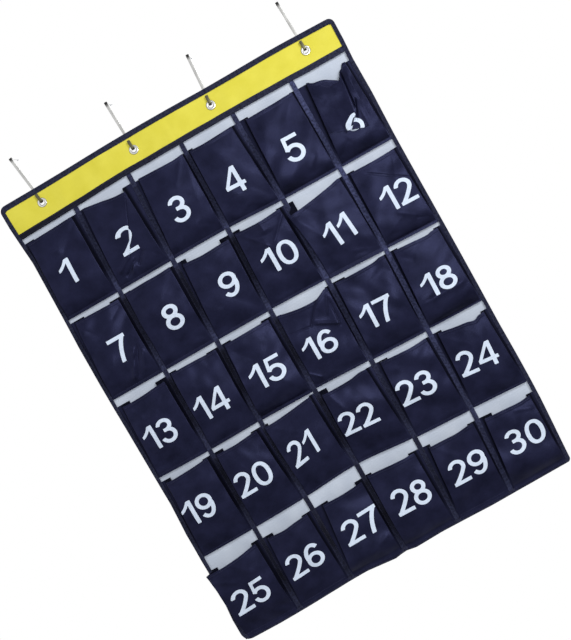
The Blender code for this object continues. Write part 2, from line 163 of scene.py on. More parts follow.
# One row for each pocket, as shares of its cell, which reaches from one tape's middle to the
# next and from one seam to the next. Its left and its right side say how far the pleat reaches
# in, the height of the pleat's top edge, and where the front's folded edge lies at the mouth.
# Then comes how the front leans, as shares of the pocket's depth over its width and over its
# height: a positive turn faces right, and a positive nod faces up. The last number tells how
# near its foot the pocket reaches its full depth.
POCKET_SHARES = {
    1: ((0.17, 0.937, 0.06), (0.23, 0.93, 0.11), (0.15, 0.25, 6)),
    2: ((0.14, 0.935, 0.1), (0.2, 0.9, 0.17), (0.05, 0.15, 5)),
    3: ((0.14, 0.889, 0.12), (0.13, 0.893, 0.06), (0.25, 0.1, 6)),
    4: ((0.13, 0.897, 0.07), (0.14, 0.888, 0.11), (0.14, 0.15, 5)),
    5: ((0.18, 0.894, 0.14), (0.12, 0.898, 0.07), (0.65, 0.6, 9)),
    6: ((0.24, 0.895, 0.19), (0.14, 0.895, 0.08), (0.15, 0.6, 9)),
    7: ((0.26, 0.949, 0.1), (0.25, 0.941, 0.08), (0.3, 0.6, 4)),
    8: ((0.16, 0.942, 0.07), (0.14, 0.939, 0.08), (0, 0, 3.5)),
    9: ((0.19, 0.937, 0.12), (0.21, 0.929, 0.06), (0, 0, 4)),
    10: ((0.16, 0.93, 0.06), (0.18, 0.937, 0.11), (-0.25, -0.15, 5)),
    11: ((0.12, 0.932, -0.06), (0.14, 0.908, 0.09), (0.35, 0.35, 2.6)),
    12: ((0.18, 0.905, 0.09), (0.12, 0.898, 0.06), (0.1, 0.45, 9)),
    13: ((0.23, 0.9, 0.09), (0.25, 0.93, 0.08), (-0.1, -0.1, 3.5)),
    14: ((0.17, 0.943, 0.08), (0.26, 0.926, 0.07), (0.2, 0.1, 2.5)),
    15: ((0.21, 0.925, 0.09), (0.23, 0.934, 0.1), (0.5, 0.65, 8)),
    16: ((0.11, 0.896, 0.05), (0.1, 0.925, 0.06), (0.1, 0.15, 2.4)),
    17: ((0.25, 0.93, 0.08), (0.17, 0.944, 0.07), (0, 0.3, 5)),
    18: ((0.17, 0.945, 0.09), (0.14, 0.95, 0.07), (-0.2, 0.45, 10)),
    19: ((0.17, 0.943, 0.08), (0.2, 0.944, 0.09), (-0.1, 0.1, 3)),
    20: ((0.21, 0.943, 0.08), (0.24, 0.935, 0.12), (0.2, 0, 2.6)),
    21: ((0.09, 0.93, 0.03), (0.12, 0.97, 0.12), (0.2, 0, 3.5)),
    22: ((0.18, 0.957, 0.07), (0.15, 0.941, 0.13), (0.2, 0, 3)),
    23: ((0.24, 0.943, 0.11), (0.14, 0.932, 0.09), (0, 0.05, 2.8)),
    24: ((0.19, 0.934, 0.11), (0.12, 0.905, 0.07), (-0.25, 0.25, 2.8)),
    25: ((0.1, 0.83, -0.118), (0.19, 0.872, 0.1), (-0.2, 0.3, 4)),
    26: ((0.23, 0.857, 0.12), (0.22, 0.846, 0.11), (0.2, 0, 3)),
    27: ((0.29, 0.842, 0.19), (0.185, 0.842, 0.07), (0.35, 0.6, 8)),
    28: ((0.14, 0.852, 0.06), (0.22, 0.867, 0.12), (0.35, 0.6, 8)),
    29: ((0.16, 0.862, 0.13), (0.18, 0.866, 0.08), (0.2, 0, 3)),
    30: ((0.26, 0.866, 0.11), (0.12, 0.87, 0.07), (0.3, 0.4, 8)),
}
# The mouth of each pocket, as points in shares of its cell
MOUTH_SHARES = {
    1: ((0.19, 0.916), (0.6, 0.919), (0.8, 0.922)),
    2: ((0.14, 0.926), (0.44, 0.888), (0.62, 0.861), (0.74, 0.851), (0.85, 0.842)),
    3: ((0.06, 0.891), (0.33, 0.884), (0.75, 0.878), (0.97, 0.893)),
    4: ((0.15, 0.873), (0.35, 0.866), (0.6, 0.872), (0.97, 0.886)),
    5: ((0.19, 0.868), (0.6, 0.879), (0.8, 0.888), (0.94, 0.893)),
    6: (
        (0.23, 0.928), (0.36, 0.914), (0.5, 0.94), (0.6, 0.91), (0.66, 0.887), (0.74, 0.858),
        (0.81, 0.85), (0.86, 0.893), (0.92, 0.895),
    ),
    7: ((0.28, 0.929), (0.5, 0.926), (0.75, 0.921)),
    8: ((0.18, 0.932), (0.45, 0.935), (0.68, 0.932), (0.95, 0.942)),
    9: ((0.22, 0.887), (0.46, 0.874), (0.79, 0.882)),
    10: ((0.18, 0.896), (0.5, 0.895), (0.82, 0.918)),
    11: ((-0.06, 0.795), (0.38, 0.839), (0.71, 0.881), (0.86, 0.905), (0.95, 0.906)),
    12: ((0.19, 0.89), (0.57, 0.887), (0.98, 0.896)),
    13: ((0.26, 0.871), (0.5, 0.877), (0.75, 0.891)),
    14: ((0.18, 0.928), (0.5, 0.925), (0.75, 0.917)),
    15: ((0.22, 0.909), (0.77, 0.914)),
    16: ((0.09, 0.9), (0.16, 0.887), (0.44, 0.857), (0.7, 0.857), (0.8, 0.885), (0.88, 0.915)),
    17: ((0.26, 0.915), (0.6, 0.921), (0.74, 0.927), (0.84, 0.945)),
    18: ((0.18, 0.934), (0.4, 0.93), (0.72, 0.922), (0.8, 0.936), (0.9, 0.94)),
    19: ((0.19, 0.913), (0.5, 0.923), (0.7, 0.932), (0.81, 0.94)),
    20: ((0.22, 0.918), (0.45, 0.913), (0.6, 0.918), (0.76, 0.925)),
    21: ((0.06, 0.911), (0.25, 0.913), (0.5, 0.929), (0.72, 0.949), (0.96, 0.97)),
    22: ((0.18, 0.909), (0.45, 0.915), (0.6, 0.924), (0.74, 0.945), (0.86, 0.945)),
    23: ((0.26, 0.932), (0.45, 0.928), (0.66, 0.926), (0.86, 0.938)),
    24: ((0.2, 0.918), (0.39, 0.899), (0.6, 0.884), (0.74, 0.865), (0.82, 0.89), (0.95, 0.895)),
    25: ((-0.16, 0.802), (0.38, 0.815), (0.82, 0.852)),
    26: ((0.26, 0.832), (0.45, 0.825), (0.62, 0.832), (0.79, 0.838)),
    27: ((0.3, 0.826), (0.55, 0.812), (0.81, 0.81)),
    28: ((0.16, 0.843), (0.47, 0.843), (0.68, 0.848), (0.8, 0.855)),
    29: ((0.17, 0.842), (0.4, 0.845), (0.6, 0.846), (0.8, 0.864)),
    30: ((0.28, 0.846), (0.45, 0.845), (0.7, 0.839), (0.83, 0.846), (0.98, 0.86)),
}
# The centre of each number in shares of the cell. Some have a form too: a tilt as a share of a
# right angle, how the cloth's bulge stretches them in width and height, and their line's slope.
NUMBER_SHARES = {
    1: (0.417, 0.44),
    2: (0.484, 0.41),
    3: (0.489, 0.413),
    4: (0.471, 0.398),
    5: (0.534, 0.394),
    6: (0.56, 0.38),
    7: (0.562, 0.44, 0, 1, 1.05, 0),
    8: (0.582, 0.456, 0, 1.05, 1.04, 0),
    9: (0.627, 0.457),
    10: (0.535, 0.464, 0.01, 1, 1, 0),
    11: (0.505, 0.406, 0.055, 0.93, 1.03, 0.06),
    12: (0.619, 0.452, 0, 1.05, 1, 0),
    13: (0.416, 0.419),
    14: (0.434, 0.427),
    15: (0.499, 0.425),
    16: (0.42, 0.408, 0, 0.94, 0.94, 0),
    17: (0.44, 0.43, 0, 0.92, 0.98, 0),
    18: (0.521, 0.424, 0, 1.03, 0.95, 0),
    19: (0.346, 0.497, 0, 1.04, 1, 0),
    20: (0.432, 0.488),
    21: (0.384, 0.49, 0, 0.85, 1.05, 0.13),
    22: (0.384, 0.482, 0, 0.92, 1, 0),
    23: (0.408, 0.503, 0, 0.96, 1.04, 0),
    24: (0.473, 0.481, -0.035, 0.96, 1, 0),
    25: (0.401, 0.387, 0.045, 1.03, 0.97, 0),
    26: (0.487, 0.419, 0.01, 1, 0.96, 0),
    27: (0.588, 0.429, 0, 1.03, 0.94, 0),
    28: (0.521, 0.455, 0, 0.95, 0.98, 0),
    29: (0.545, 0.46, 0, 0.98, 0.98, 0),
    30: (0.583, 0.467),
}
USUAL_NUMBER_FORM_SHARES = (0, 1, 1, 0)

# Creases of single pockets: start and end in shares of the cell, width as a share of the
# cell's width, and height as a share of the pocket's depth
CREASE_SHARES = {
    2: (
        (0.16, 0.15, 0.4, 0.25, 0.03, 0.18), (0.24, 0.08, 0.48, 0.2, 0.026, -0.2),
        (0.36, 0.07, 0.46, 0.22, 0.022, 0.14), (0.5, 0.13, 0.66, 0.24, 0.026, -0.16),
    ),
    3: ((0.93, 0.8, 0.8, 0.35, 0.08, 0.05),),
    4: ((0.24, 0.04, 0.5, 0.12, 0.03, 0.06), (0.5, 0.12, 0.76, 0.04, 0.03, 0.06)),
    5: ((0.3, 0.85, 0.24, 0.45, 0.08, 0.04), (0.6, 0.12, 0.78, 0.24, 0.03, 0.07)),
    6: (
        (0.77, 0.84, 0.71, 0.52, 0.02, -0.3), (0.78, 0.52, 0.62, 0.38, 0.015, -0.2),
        (0.86, 0.8, 0.84, 0.3, 0.06, 0.1),
    ),
    7: (
        (0.5, 0.07, 0.74, 0.36, 0.024, 0.2), (0.58, 0.06, 0.82, 0.38, 0.022, -0.2),
        (0.74, 0.1, 0.86, 0.3, 0.022, 0.16), (0.6, 0.22, 0.72, 0.3, 0.018, -0.12),
    ),
    8: ((0.1, 0.83, 0.38, 0.87, 0.02, 0.09),),
    10: (
        (0.15, 0.86, 0.46, 0.62, 0.02, 0.08), (0.88, 0.86, 0.56, 0.62, 0.02, 0.08),
        (0.48, 1, 0.5, 0.76, 0.1, 0.2),
    ),
    11: ((0.02, 0.76, 0.3, 0.4, 0.08, 0.1), (0.55, 0.14, 0.92, 0.04, 0.015, 0.05)),
    12: ((0.36, 0.8, 0.94, 0.56, 0.006, -0.06), (0.7, 0.14, 0.9, 0.1, 0.04, -0.08)),
    16: (
        (0.7, 0.85, 0.45, 0.63, 0.01, -0.14), (0.87, 0.84, 0.76, 0.66, 0.008, 0.12),
        (0.52, 0.64, 0.86, 0.52, 0.016, 0.22), (0.88, 0.8, 0.86, 0.5, 0.01, -0.12),
        (0.08, 0.66, 0.45, 0.63, 0.008, -0.05), (0.05, 0.19, 0.22, 0.08, 0.02, 0.08),
    ),
    18: ((0.1, 0.28, 0.9, 0.3, 0.05, 0.16),),
    22: ((0.16, 0.88, 0.3, 0.6, 0.04, 0.1),),
    25: ((-0.05, 0.7, 0.3, 0.58, 0.03, 0.1), (0.35, 0.78, 0.65, 0.6, 0.03, 0.08)),
    27: ((0.5, 0.1, 0.9, 0.22, 0.04, 0.1),),
    30: ((0.6, 0.78, 0.9, 0.72, 0.02, 0.08),),
}
# Soft creases of every pocket: the shares of the cell where they start, and between which
# shares their run, their rise, their width and their height are drawn
TENSION_STARTS_X_SHARES = (0.12, 0.88)
TENSION_STARTS_Z_SHARES = (0.86, 0.10)
TENSION_SHARES = ((0.15, 0.42), (0.05, 0.30), (0.03, 0.07), (-0.06, 0.06))
# Tucks: which part lies over which, the tuck's line from start to end, the overlap as a share
# of the cell's width, and the shares of its line over which it fades in and out
TUCK_SHARES = {
    2: (("left over right", (0.38, 0.16), (0.93, 1.02), 0.030, (0.30, 0.30)),),
    6: (
        ("left over right", (0.60, 0.36), (0.735, 0.86), 0.028, (0.25, 0.01)),
        ("upper over lower", (0.34, 0.243), (0.80, 0.550), 0.045, (0.45, 0.25)),
        ("upper over lower", (0.06, 0.368), (0.78, 0.222), 0.040, (0.35, 0.12)),
    ),
}
# The power of the height by which the front's folded edges move from the foot's to the mouth's
# place
USUAL_FOLD_POWER = 0.9
FOLD_POWERS = {11: 2.2, 25: 1.3}

# How far the edges have crept outwards: the place from the top or the left, as a share of the
# edge, and the creep as a share of the binding's width
RIM_REACH = 16 * MM
RIM_SHARES = {
    "left": (
        (0, 0.43), (0.04, 0.34), (0.12, -0.34), (0.2, -0.11), (0.31, 0.19), (0.42, 0.09),
        (0.5, 0), (0.68, 0.1), (0.75, 0.66), (0.81, 0.66), (0.88, 0.32), (0.95, 0.6), (1, 0.25),
    ),
    "right": (
        (0, 0.14), (0.05, 0.2), (0.09, 0.03), (0.16, 0.22), (0.25, 0.06), (0.5, 0), (0.68, -0.13),
        (0.85, 0.12), (1, 0.06),
    ),
    "top": ((0, 0.1), (0.4, 0.18), (0.6, 0.11), (0.85, 0.18), (1, 0.1)),
    "bottom": (
        (0, 0.2), (0.1, 0.2), (0.18, 0.05), (0.3, -0.03), (0.385, -0.24), (0.467, 0.2),
        (0.485, -0.1), (0.503, -0.26), (0.53, 0.14), (0.61, -0.09), (0.76, 0.1), (0.84, 0),
        (1, 0),
    ),
}
# The binding is wider along the top, as a share of its width
TOP_BINDING_EXTRA_SHARE = 0.24

# Flat sheets. A wave has its seed, its height and its length.
BACKING_STEP = 7 * MM
BACKING_WAVE = (3, 0.25 * MM, 60 * MM)
PANEL_CORNER = 9 * MM
HEADER_STEP = 4 * MM
HEADER_WAVE = (5, 0.35 * MM, 45 * MM)
HEADER_HOLD_SHARE = 0.4
# Upright creases of the header, with their place across and their height
HEADER_CREASES = ((-11 * MM, 0.5 * MM), (3 * MM, 0.4 * MM))
HEADER_CREASE_WIDTH = 2.5 * MM
HOLE_PLAY = 0.7 * MM
HEADER_TAPE_DROP = 1.2 * MM

# Tapes and binding. The line shares place a tape's lengthwise grid lines on its half width.
# A tape wanders off its line with a seed, a height and a length; the uprights and the bindings
# add their own number to the seed.
TAPE_LINE_SHARES = np.array([-1.0, -0.92, -0.78, -0.66, -0.4, 0.0, 0.4, 0.66, 0.78, 0.92, 1.0])
TAPE_STEP = 3 * MM
UPRIGHT_WANDER = (20, 0.25 * MM, 70 * MM)
HEADER_TAPE_WANDER = (31, 0.25 * MM, 90 * MM)
BINDING_WANDER = (41, 0.25 * MM, 80 * MM)
TAPE_CROWN = 0.3 * MM
PUCKER_SHARE = 0.3
PUCKER_LENGTH = 6.9 * MM
SEWN_CROWN_SHARE = 0.6
CORNER_STEPS = 10
CORNER_RADII = (15 * MM, 6 * MM, 10 * MM, 10 * MM)
FOLDED_WALL = 0.5 * MM
BINDING_FOLD_STEPS = 8

# Metal
EYELET_STEPS = 64
EYELET_WALL = 0.35 * MM
ROLL_SHARE = 0.42
CURL_STEPS = 8
CROWN_STEPS = 12
CROWN_POWER = 0.8
FLANGE_EDGE_SHARE = 0.15
DISH_STEPS = 8
DISH_POWER = 0.7
WASHER_DISH_SHARE = 0.7
HOOK_BEVEL = 0.25 * MM
# How far painted shade reaches from the eyelet's bore and a painted shadow from its rim, full and faded
BORE_PAINTED_SHADE = (0.2 * MM, 1.2 * MM)
RIM_PAINTED_SHADOW = (0.2 * MM, 0.9 * MM)
# Depths and heights between which a hook's painted light and shade change: front leg, bend at the top and
# tip
HOOK_FRONT_DEPTHS = (4 * MM, 10 * MM)
HOOK_BEND_HEIGHTS = (-9 * MM, -3 * MM)
HOOK_TIP_DEPTHS = (-5 * MM, -3 * MM)

# Angles in degrees above which an edge stays sharp
SHEET_SHARP = 40
CLOTH_SHARP = 60
FILM_SHARP = 35
STITCH_SHARP = 70
EYELET_SHARP = 50
HOOK_SHARP = 35

# Cloth detail. Most of a noise's values keep between two shares.
NOISE_SHARES = (0.3, 0.7)
OXFORD_PITCH = 0.5 * MM
GROSGRAIN_PITCH = 0.7 * MM
DIMPLE_PITCH = 1.6 * MM
SLUB_LENGTH = 9 * MM
PATCH_LENGTH = 30 * MM

# Room: each softbox has its place, its size and its power
SENSOR_WIDTH = 36.0
AMBIENT_LEVEL = 0.27
FLOOR_LEVEL = -2.03
FLOOR_SIZE = 4.0
SOFTBOXES = (
    ("key_light", (1.8, -1.4, 1.0), (0.8, 0.8), 45.0),
    ("sheen_light", (0.50, -2.05, -0.28), (0.45, 0.45), 16.5),
    ("fill_light", (-1.7, -2.2, 0.0), (1.8, 1.8), 7.0),
    ("back_light", (0.3, 1.6, 0.6), (1.6, 1.6), 18.0),
)

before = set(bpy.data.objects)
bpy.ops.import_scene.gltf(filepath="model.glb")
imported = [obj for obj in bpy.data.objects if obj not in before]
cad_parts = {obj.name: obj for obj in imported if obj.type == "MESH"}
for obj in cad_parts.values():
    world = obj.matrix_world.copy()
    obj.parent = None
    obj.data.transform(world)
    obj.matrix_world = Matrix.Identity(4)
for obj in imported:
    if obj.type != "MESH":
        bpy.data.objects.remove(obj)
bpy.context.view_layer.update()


# Places that the frame gives
def node_box(name):
    """A node's box as (left, right), (bottom, top), (back depth, front depth)."""
    low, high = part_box(name)
    return (low.x, high.x), (low.z, high.z), (-high.y, -low.y)


def middle(span):
    return (span[0] + span[1]) / 2


(SHEET_LEFT, BINDING_INNER), _, BINDING_DEPTHS = node_box("binding_left")
BINDING_WIDTH = BINDING_INNER - SHEET_LEFT
SHEET_RIGHT = node_box("binding_right")[0][1]
SHEET_TOP = node_box("binding_top")[1][1]
SHEET_BOTTOM = node_box("binding_bottom")[1][0]
_, (GRID_TOP, _), TRIM_DEPTHS = node_box("header_tape")
TAPE_BOXES = [node_box(f"divider_tape_{k}") for k in range(1, 6)]
TAPE_PLACES = [middle(box[0]) for box in TAPE_BOXES]
TAPE_WIDTH = TAPE_BOXES[0][0][1] - TAPE_BOXES[0][0][0]
COLUMN_PITCH = TAPE_PLACES[1] - TAPE_PLACES[0]
COLUMNS = len(TAPE_PLACES) + 1
ROWS = len(POCKET_SHARES) // COLUMNS
ROW_PITCH = node_box("pocket_01")[1][0] - node_box("pocket_07")[1][0]
GRID_LEFT = SHEET_LEFT + BINDING_WIDTH
GRID_BOTTOM = GRID_TOP - ROWS * ROW_PITCH
POCKET_BACK = node_box("pocket_01")[2][0]
POCKET_DEPTH = node_box("pocket_01")[2][1] - POCKET_BACK - CLOTH_THICKNESS
FLANGE_MIDDLE = POCKET_BACK + CLOTH_THICKNESS / 2
EYELETS = [tuple(middle(span) for span in node_box(f"eyelet_{k}")[:2]) for k in range(1, 5)]
COLUMN_STOPS = np.array([SHEET_LEFT, *TAPE_PLACES, SHEET_RIGHT])
ROW_TOPS = [GRID_TOP - k * ROW_PITCH for k in range(ROWS)]
LEVEL_STOPS = SHEET_TOP - np.array([SHEET_TOP, *ROW_TOPS, SHEET_BOTTOM])


# Lines and grids of points
def smoothstep(t):
    t = np.clip(t, 0, 1)
    return t * t * (3 - 2 * t)


def unit(vectors):
    return vectors / np.maximum(np.linalg.norm(vectors, axis=-1, keepdims=True), 1e-12)


def way_along(line):
    """Each point's distance from the first, along the line."""
    return np.concatenate([[0], np.cumsum(np.linalg.norm(np.diff(line, axis=0), axis=1))])


def lines_between(low, high, step, extra=()):
    """Grid lines about a step apart, with extra lines, which push out their near neighbours."""
    regular = np.linspace(low, high, max(2, round((high - low) / step) + 1))
    extra = np.array(sorted(extra))
    if len(extra):
        near = np.abs(regular[:, None] - extra[None, :]).min(1) < step / 3
        near[0] = near[-1] = False
        regular = regular[~near]
    return np.unique(np.concatenate([regular, extra]))


# The shape in which the chart hangs
def stop_weights(places, stops):
    """For each place, each stop's share in a smooth curve through the stops' values."""
    count = len(stops)
    slopes = np.zeros((count, count))
    for k in range(count):
        low = max(k - 1, 0)
        high = min(k + 1, count - 1)
        slopes[k, high] += 1 / (stops[high] - stops[low])
        slopes[k, low] -= 1 / (stops[high] - stops[low])
    first = np.clip(np.searchsorted(stops, places) - 1, 0, count - 2)
    gap = stops[first + 1] - stops[first]
    t = np.clip((places - stops[first]) / gap, 0, 1)[:, None]
    gap = gap[:, None]
    own = np.eye(count)
    rise = smoothstep(t)
    return (
        (1 - rise) * own[first]
        + rise * own[first + 1]
        + gap * t * (1 - t) ** 2 * slopes[first]
        - gap * t * t * (1 - t) * slopes[first + 1]
    )


def rim_shift(edge, share, inside):
    """How far an edge has crept outwards, fading out over a short way into the sheet."""
    places, creep = np.array(RIM_SHARES[edge]).T
    fade = np.exp(-((np.maximum(inside, 0) / RIM_REACH) ** 2))
    return np.interp(share, places, creep) * BINDING_WIDTH * fade


def shifts(x, z):
    """How far the flat layout's points move: right, forward and up."""
    across = stop_weights(x, COLUMN_STOPS)
    down = stop_weights(SHEET_TOP - z, LEVEL_STOPS)
    tables = np.array([SWAY_SHARES, FORWARD_SHARES, LIFT_SHARES])
    moved = np.stack([np.einsum("ni,ij,nj->n", down, table, across) for table in tables], 1) * HANG_SHIFT
    from_top, from_left = SHEET_TOP - z, x - SHEET_LEFT
    height_share = from_top / (SHEET_TOP - SHEET_BOTTOM)
    width_share = from_left / (SHEET_RIGHT - SHEET_LEFT)
    moved[:, 0] += rim_shift("right", height_share, SHEET_RIGHT - x)
    moved[:, 0] -= rim_shift("left", height_share, from_left)
    moved[:, 2] += rim_shift("top", width_share, from_top)
    moved[:, 2] -= rim_shift("bottom", width_share, z - SHEET_BOTTOM)
    return moved


def hang(points):
    """Moves points of the flat layout, as rows of x, depth and z, to where they hang, as rows
    of x, y and z. The eyelets hold the cloth's depth."""
    points = np.asarray(points, float)
    flat = points.reshape(-1, 3)
    moved = shifts(flat[:, 0], flat[:, 2])
    for x, z in EYELETS:
        held = np.exp(-((((flat[:, 0] - x) ** 2 + (flat[:, 2] - z) ** 2) / EYELET_HOLD**2) ** 2))
        moved[:, 1] -= held * shifts(np.array([x]), np.array([z]))[0, 1]
    placed = flat + moved
    placed[:, 1] *= -1
    return placed.reshape(points.shape)


def unhung(x, z):
    """The place in the flat layout that hangs at x and z."""
    flat_x, flat_z = x, z
    for _ in range(4):
        sway, _, lift = shifts(np.array([flat_x]), np.array([flat_z]))[0]
        flat_x, flat_z = x - sway, z - lift
    return flat_x, flat_z


# Meshes
def link_mesh(name, mesh, finish, sharp):
    mesh.materials.append(finish)
    mesh.shade_smooth()
    mesh.set_sharp_from_angle(angle=math.radians(sharp))
    obj = bpy.data.objects.new(name, mesh)
    bpy.context.scene.collection.objects.link(obj)
    return obj


def add_object(name, vertices, faces, finish, sharp, cloth=None, pleat=None):
    """Adds a closed mesh. cloth gives each vertex its place on the flat cloth, in metres, and
    pleat gives its painted shade in the gap beside a pocket's front."""
    mesh = bpy.data.meshes.new(name)
    mesh.from_pydata(np.asarray(vertices).tolist(), [], [list(face) for face in faces])
    mesh.update()
    loops = np.empty(len(mesh.loops), np.int32)
    mesh.loops.foreach_get("vertex_index", loops)
    for layer_name, places in (("cloth", cloth), ("pleat", pleat)):
        if places is not None:
            layer = mesh.uv_layers.new(name=layer_name)
            layer.data.foreach_set("uv", np.asarray(places, np.float32)[loops].ravel())
    outward = bmesh.new()
    outward.from_mesh(mesh)
    bmesh.ops.recalc_face_normals(outward, faces=outward.faces)
    outward.to_mesh(mesh)
    outward.free()
    return link_mesh(name, mesh, finish, sharp)


def fit(piece, node, body="chart"):
    """Hides the node's imported part and puts the piece on its body."""
    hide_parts(node)
    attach(piece, body)
    return piece


def add_slab(name, front, back, finish, sharp, cloth, pleat=None, holes=None):
    """Adds a closed slab between two grids of points. holes marks cells that are left open."""
    rows, columns = front.shape[:2]
    index = np.arange(rows * columns).reshape(rows, columns)
    solid = np.ones((rows - 1, columns - 1), bool) if holes is None else ~holes
    a, b = index[:-1, :-1][solid], index[:-1, 1:][solid]
    c, d = index[1:, 1:][solid], index[1:, :-1][solid]
    offset = rows * columns
    faces = [np.stack([a, b, c, d], 1), np.stack([d, c, b, a], 1) + offset]
    padded = np.zeros((rows + 1, columns + 1), bool)
    padded[1:-1, 1:-1] = solid
    for i_edge, j_edge, ends in (
        (padded[:-1, 1:-1], padded[1:, 1:-1], (index[:, :-1], index[:, 1:])),
        (padded[1:-1, 1:], padded[1:-1, :-1], (index[:-1, :], index[1:, :])),
    ):
        for above, first, second in ((j_edge & ~i_edge, 0, 1), (i_edge & ~j_edge, 1, 0)):
            p, q = ends[first][above], ends[second][above]
            faces.append(np.stack([q, p, p + offset, q + offset], 1))
    vertices = np.concatenate([front.reshape(-1, 3), back.reshape(-1, 3)])
    faces = np.concatenate(faces)
    used, packed = np.unique(faces, return_inverse=True)
    maps = [m if m is None else np.concatenate([m.reshape(-1, 2)] * 2)[used] for m in (cloth, pleat)]
    return add_object(name, vertices[used], packed.reshape(faces.shape), finish, sharp, *maps)


def add_sheet(name, node, flat, finish, sharp, holes=None):
    """Adds a node's sheet of cloth, from a grid of flat x and z with a depth offset."""
    x, z, offset = np.moveaxis(flat, -1, 0)
    back, front = (hang(np.stack([x, depth + offset, z], -1)) for depth in node_box(node)[2])
    return fit(add_slab(name, front, back, finish, sharp, flat[..., :2], holes=holes), node)


# Flat sheets
def eyelet_radii(number):
    """The bore's radius and the rim's radius of an eyelet."""
    x, z = EYELETS[number - 1]
    corners = np.array([v.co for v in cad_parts[f"eyelet_{number}"].data.vertices])
    radii = np.hypot(corners[:, 0] - x, corners[:, 2] - z)
    return radii.min(), radii.max()


def pierced_grid(node, step):
    """A node's grid of flat x, z and depth offsets with a round hole at each eyelet, and the
    cells that the holes leave open."""
    (left, right), (bottom, top), _ = node_box(node)
    radius = eyelet_radii(1)[0] + HOLE_PLAY
    offsets = np.array([-1, -0.5, 0, 0.5, 1]) * radius
    inside = [unhung(x, z) for x, z in EYELETS]
    xs = lines_between(left, right, step, {x + o for x, _ in inside for o in offsets})
    zs = lines_between(bottom, top, step, {z + o for _, z in inside for o in offsets})
    grid = np.zeros((len(zs), len(xs), 3))
    grid[..., 0], grid[..., 1] = np.meshgrid(xs, zs)
    holes = np.zeros((len(zs) - 1, len(xs) - 1), bool)
    mid_x, mid_z = (xs[:-1] + xs[1:]) / 2, (zs[:-1] + zs[1:]) / 2
    for x, z in inside:
        holes |= (np.abs(mid_x - x) < radius)[None, :] & (np.abs(mid_z - z) < radius)[:, None]
        from_x, from_z = grid[..., 0] - x, grid[..., 1] - z
        reach = np.maximum(np.abs(from_x), np.abs(from_z))
        edge = np.abs(reach - radius) < radius / 10
        scale = radius / np.hypot(from_x, from_z)[edge]
        grid[..., 0][edge] = x + from_x[edge] * scale
        grid[..., 1][edge] = z + from_z[edge] * scale
    return grid, holes


def ripples(x, z, seed, size, length):
    """A gentle seeded unevenness, about size high, with waves about length long."""
    random = np.random.default_rng(seed)
    height = np.zeros_like(x)
    for _ in range(RIPPLE_COUNT):
        turn, phase = random.uniform(0, math.tau, 2)
        wave = math.tau / (length * random.uniform(*RIPPLE_LENGTH_SHARES))
        height += np.sin((x * math.cos(turn) + z * math.sin(turn)) * wave + phase)
    return height * size / RIPPLE_COUNT**0.5


def make_backing(finish):
    """The backing sheet, with its corners drawn in to a round."""
    (left, right), (bottom, top), _ = node_box("back_panel")
    grid, holes = pierced_grid("back_panel", BACKING_STEP)
    x, z = grid[..., 0], grid[..., 1]
    for edge_x, side in ((left, 1), (right, -1)):
        for edge_z, end in ((bottom, 1), (top, -1)):
            away_x = PANEL_CORNER - (x - edge_x) * side
            away_z = PANEL_CORNER - (z - edge_z) * end
            reach = np.hypot(away_x, away_z)
            outside = (away_x > 0) & (away_z > 0) & (reach > PANEL_CORNER)
            shrink = PANEL_CORNER / np.maximum(reach, PANEL_CORNER)
            x[outside] = (edge_x + side * (PANEL_CORNER - away_x * shrink))[outside]
            z[outside] = (edge_z + end * (PANEL_CORNER - away_z * shrink))[outside]
    grid[..., 2] = -np.abs(ripples(x, z, *BACKING_WAVE))
    return add_sheet("backing_sheet", "back_panel", grid, finish, SHEET_SHARP, holes)


def make_header(finish):
    """The yellow band, which is uneven away from the eyelets that hold it flat."""
    grid, holes = pierced_grid("header_band", HEADER_STEP)
    x, z = grid[..., 0], grid[..., 1]
    from_eyelet = np.minimum.reduce([np.hypot(x - a, z - b) for a, b in EYELETS])
    loose = smoothstep(from_eyelet / EYELET_HOLD - HEADER_HOLD_SHARE)
    grid[..., 2] = ripples(x, z, *HEADER_WAVE) * loose
    for place, height in HEADER_CREASES:
        grid[..., 2] += height * np.exp(-np.abs(x - place) / HEADER_CREASE_WIDTH)
    return add_sheet("header_cloth", "header_band", grid, finish, SHEET_SHARP, holes)


def make_board(finish):
    grid, holes = pierced_grid("header_stiffener", HEADER_STEP)
    add_sheet("header_board", "header_stiffener", grid, finish, SHEET_SHARP, holes)


# Tapes
def make_upright_tape(number, finish):
    """A sewn tape, a little crowned between its two rows of stitches."""
    (left, right), (bottom, top), _ = TAPE_BOXES[number - 1]
    run = lines_between(0, top - bottom, TAPE_STEP)[:, None]
    seed, *wave = UPRIGHT_WANDER
    wander = ripples(run, 0 * run, seed + number, *wave)
    grid = np.empty((len(run), len(TAPE_LINE_SHARES), 3))
    grid[..., 0] = (left + right) / 2 + (TAPE_LINE_SHARES * TAPE_WIDTH / 2 + wander)
    grid[..., 1] = bottom + run
    pucker = PUCKER_SHARE * TAPE_CROWN * np.sin(run * math.tau / PUCKER_LENGTH)
    grid[..., 2] = TAPE_CROWN * (1 - np.abs(TAPE_LINE_SHARES) ** 4) + pucker * (1 - TAPE_LINE_SHARES**2)
    node = f"divider_tape_{number}"
    return add_sheet(f"upright_tape_{number}", node, grid, finish, CLOTH_SHARP)


def make_header_tape(finish):
    (left, right), (bottom, top), _ = node_box("header_tape")
    bottom -= HEADER_TAPE_DROP
    run = lines_between(left, right, TAPE_STEP)
    across = TAPE_LINE_SHARES[:, None]
    wander = ripples(run, 0 * run, *HEADER_TAPE_WANDER)
    grid = np.empty((len(across), len(run), 3))
    grid[..., 0] = run
    grid[..., 1] = (bottom + top) / 2 + across * (top - bottom) / 2 + wander
    grid[..., 2] = TAPE_CROWN * (1 - across**4)
    return add_sheet("header_seam_tape", "header_tape", grid, finish, CLOTH_SHARP)


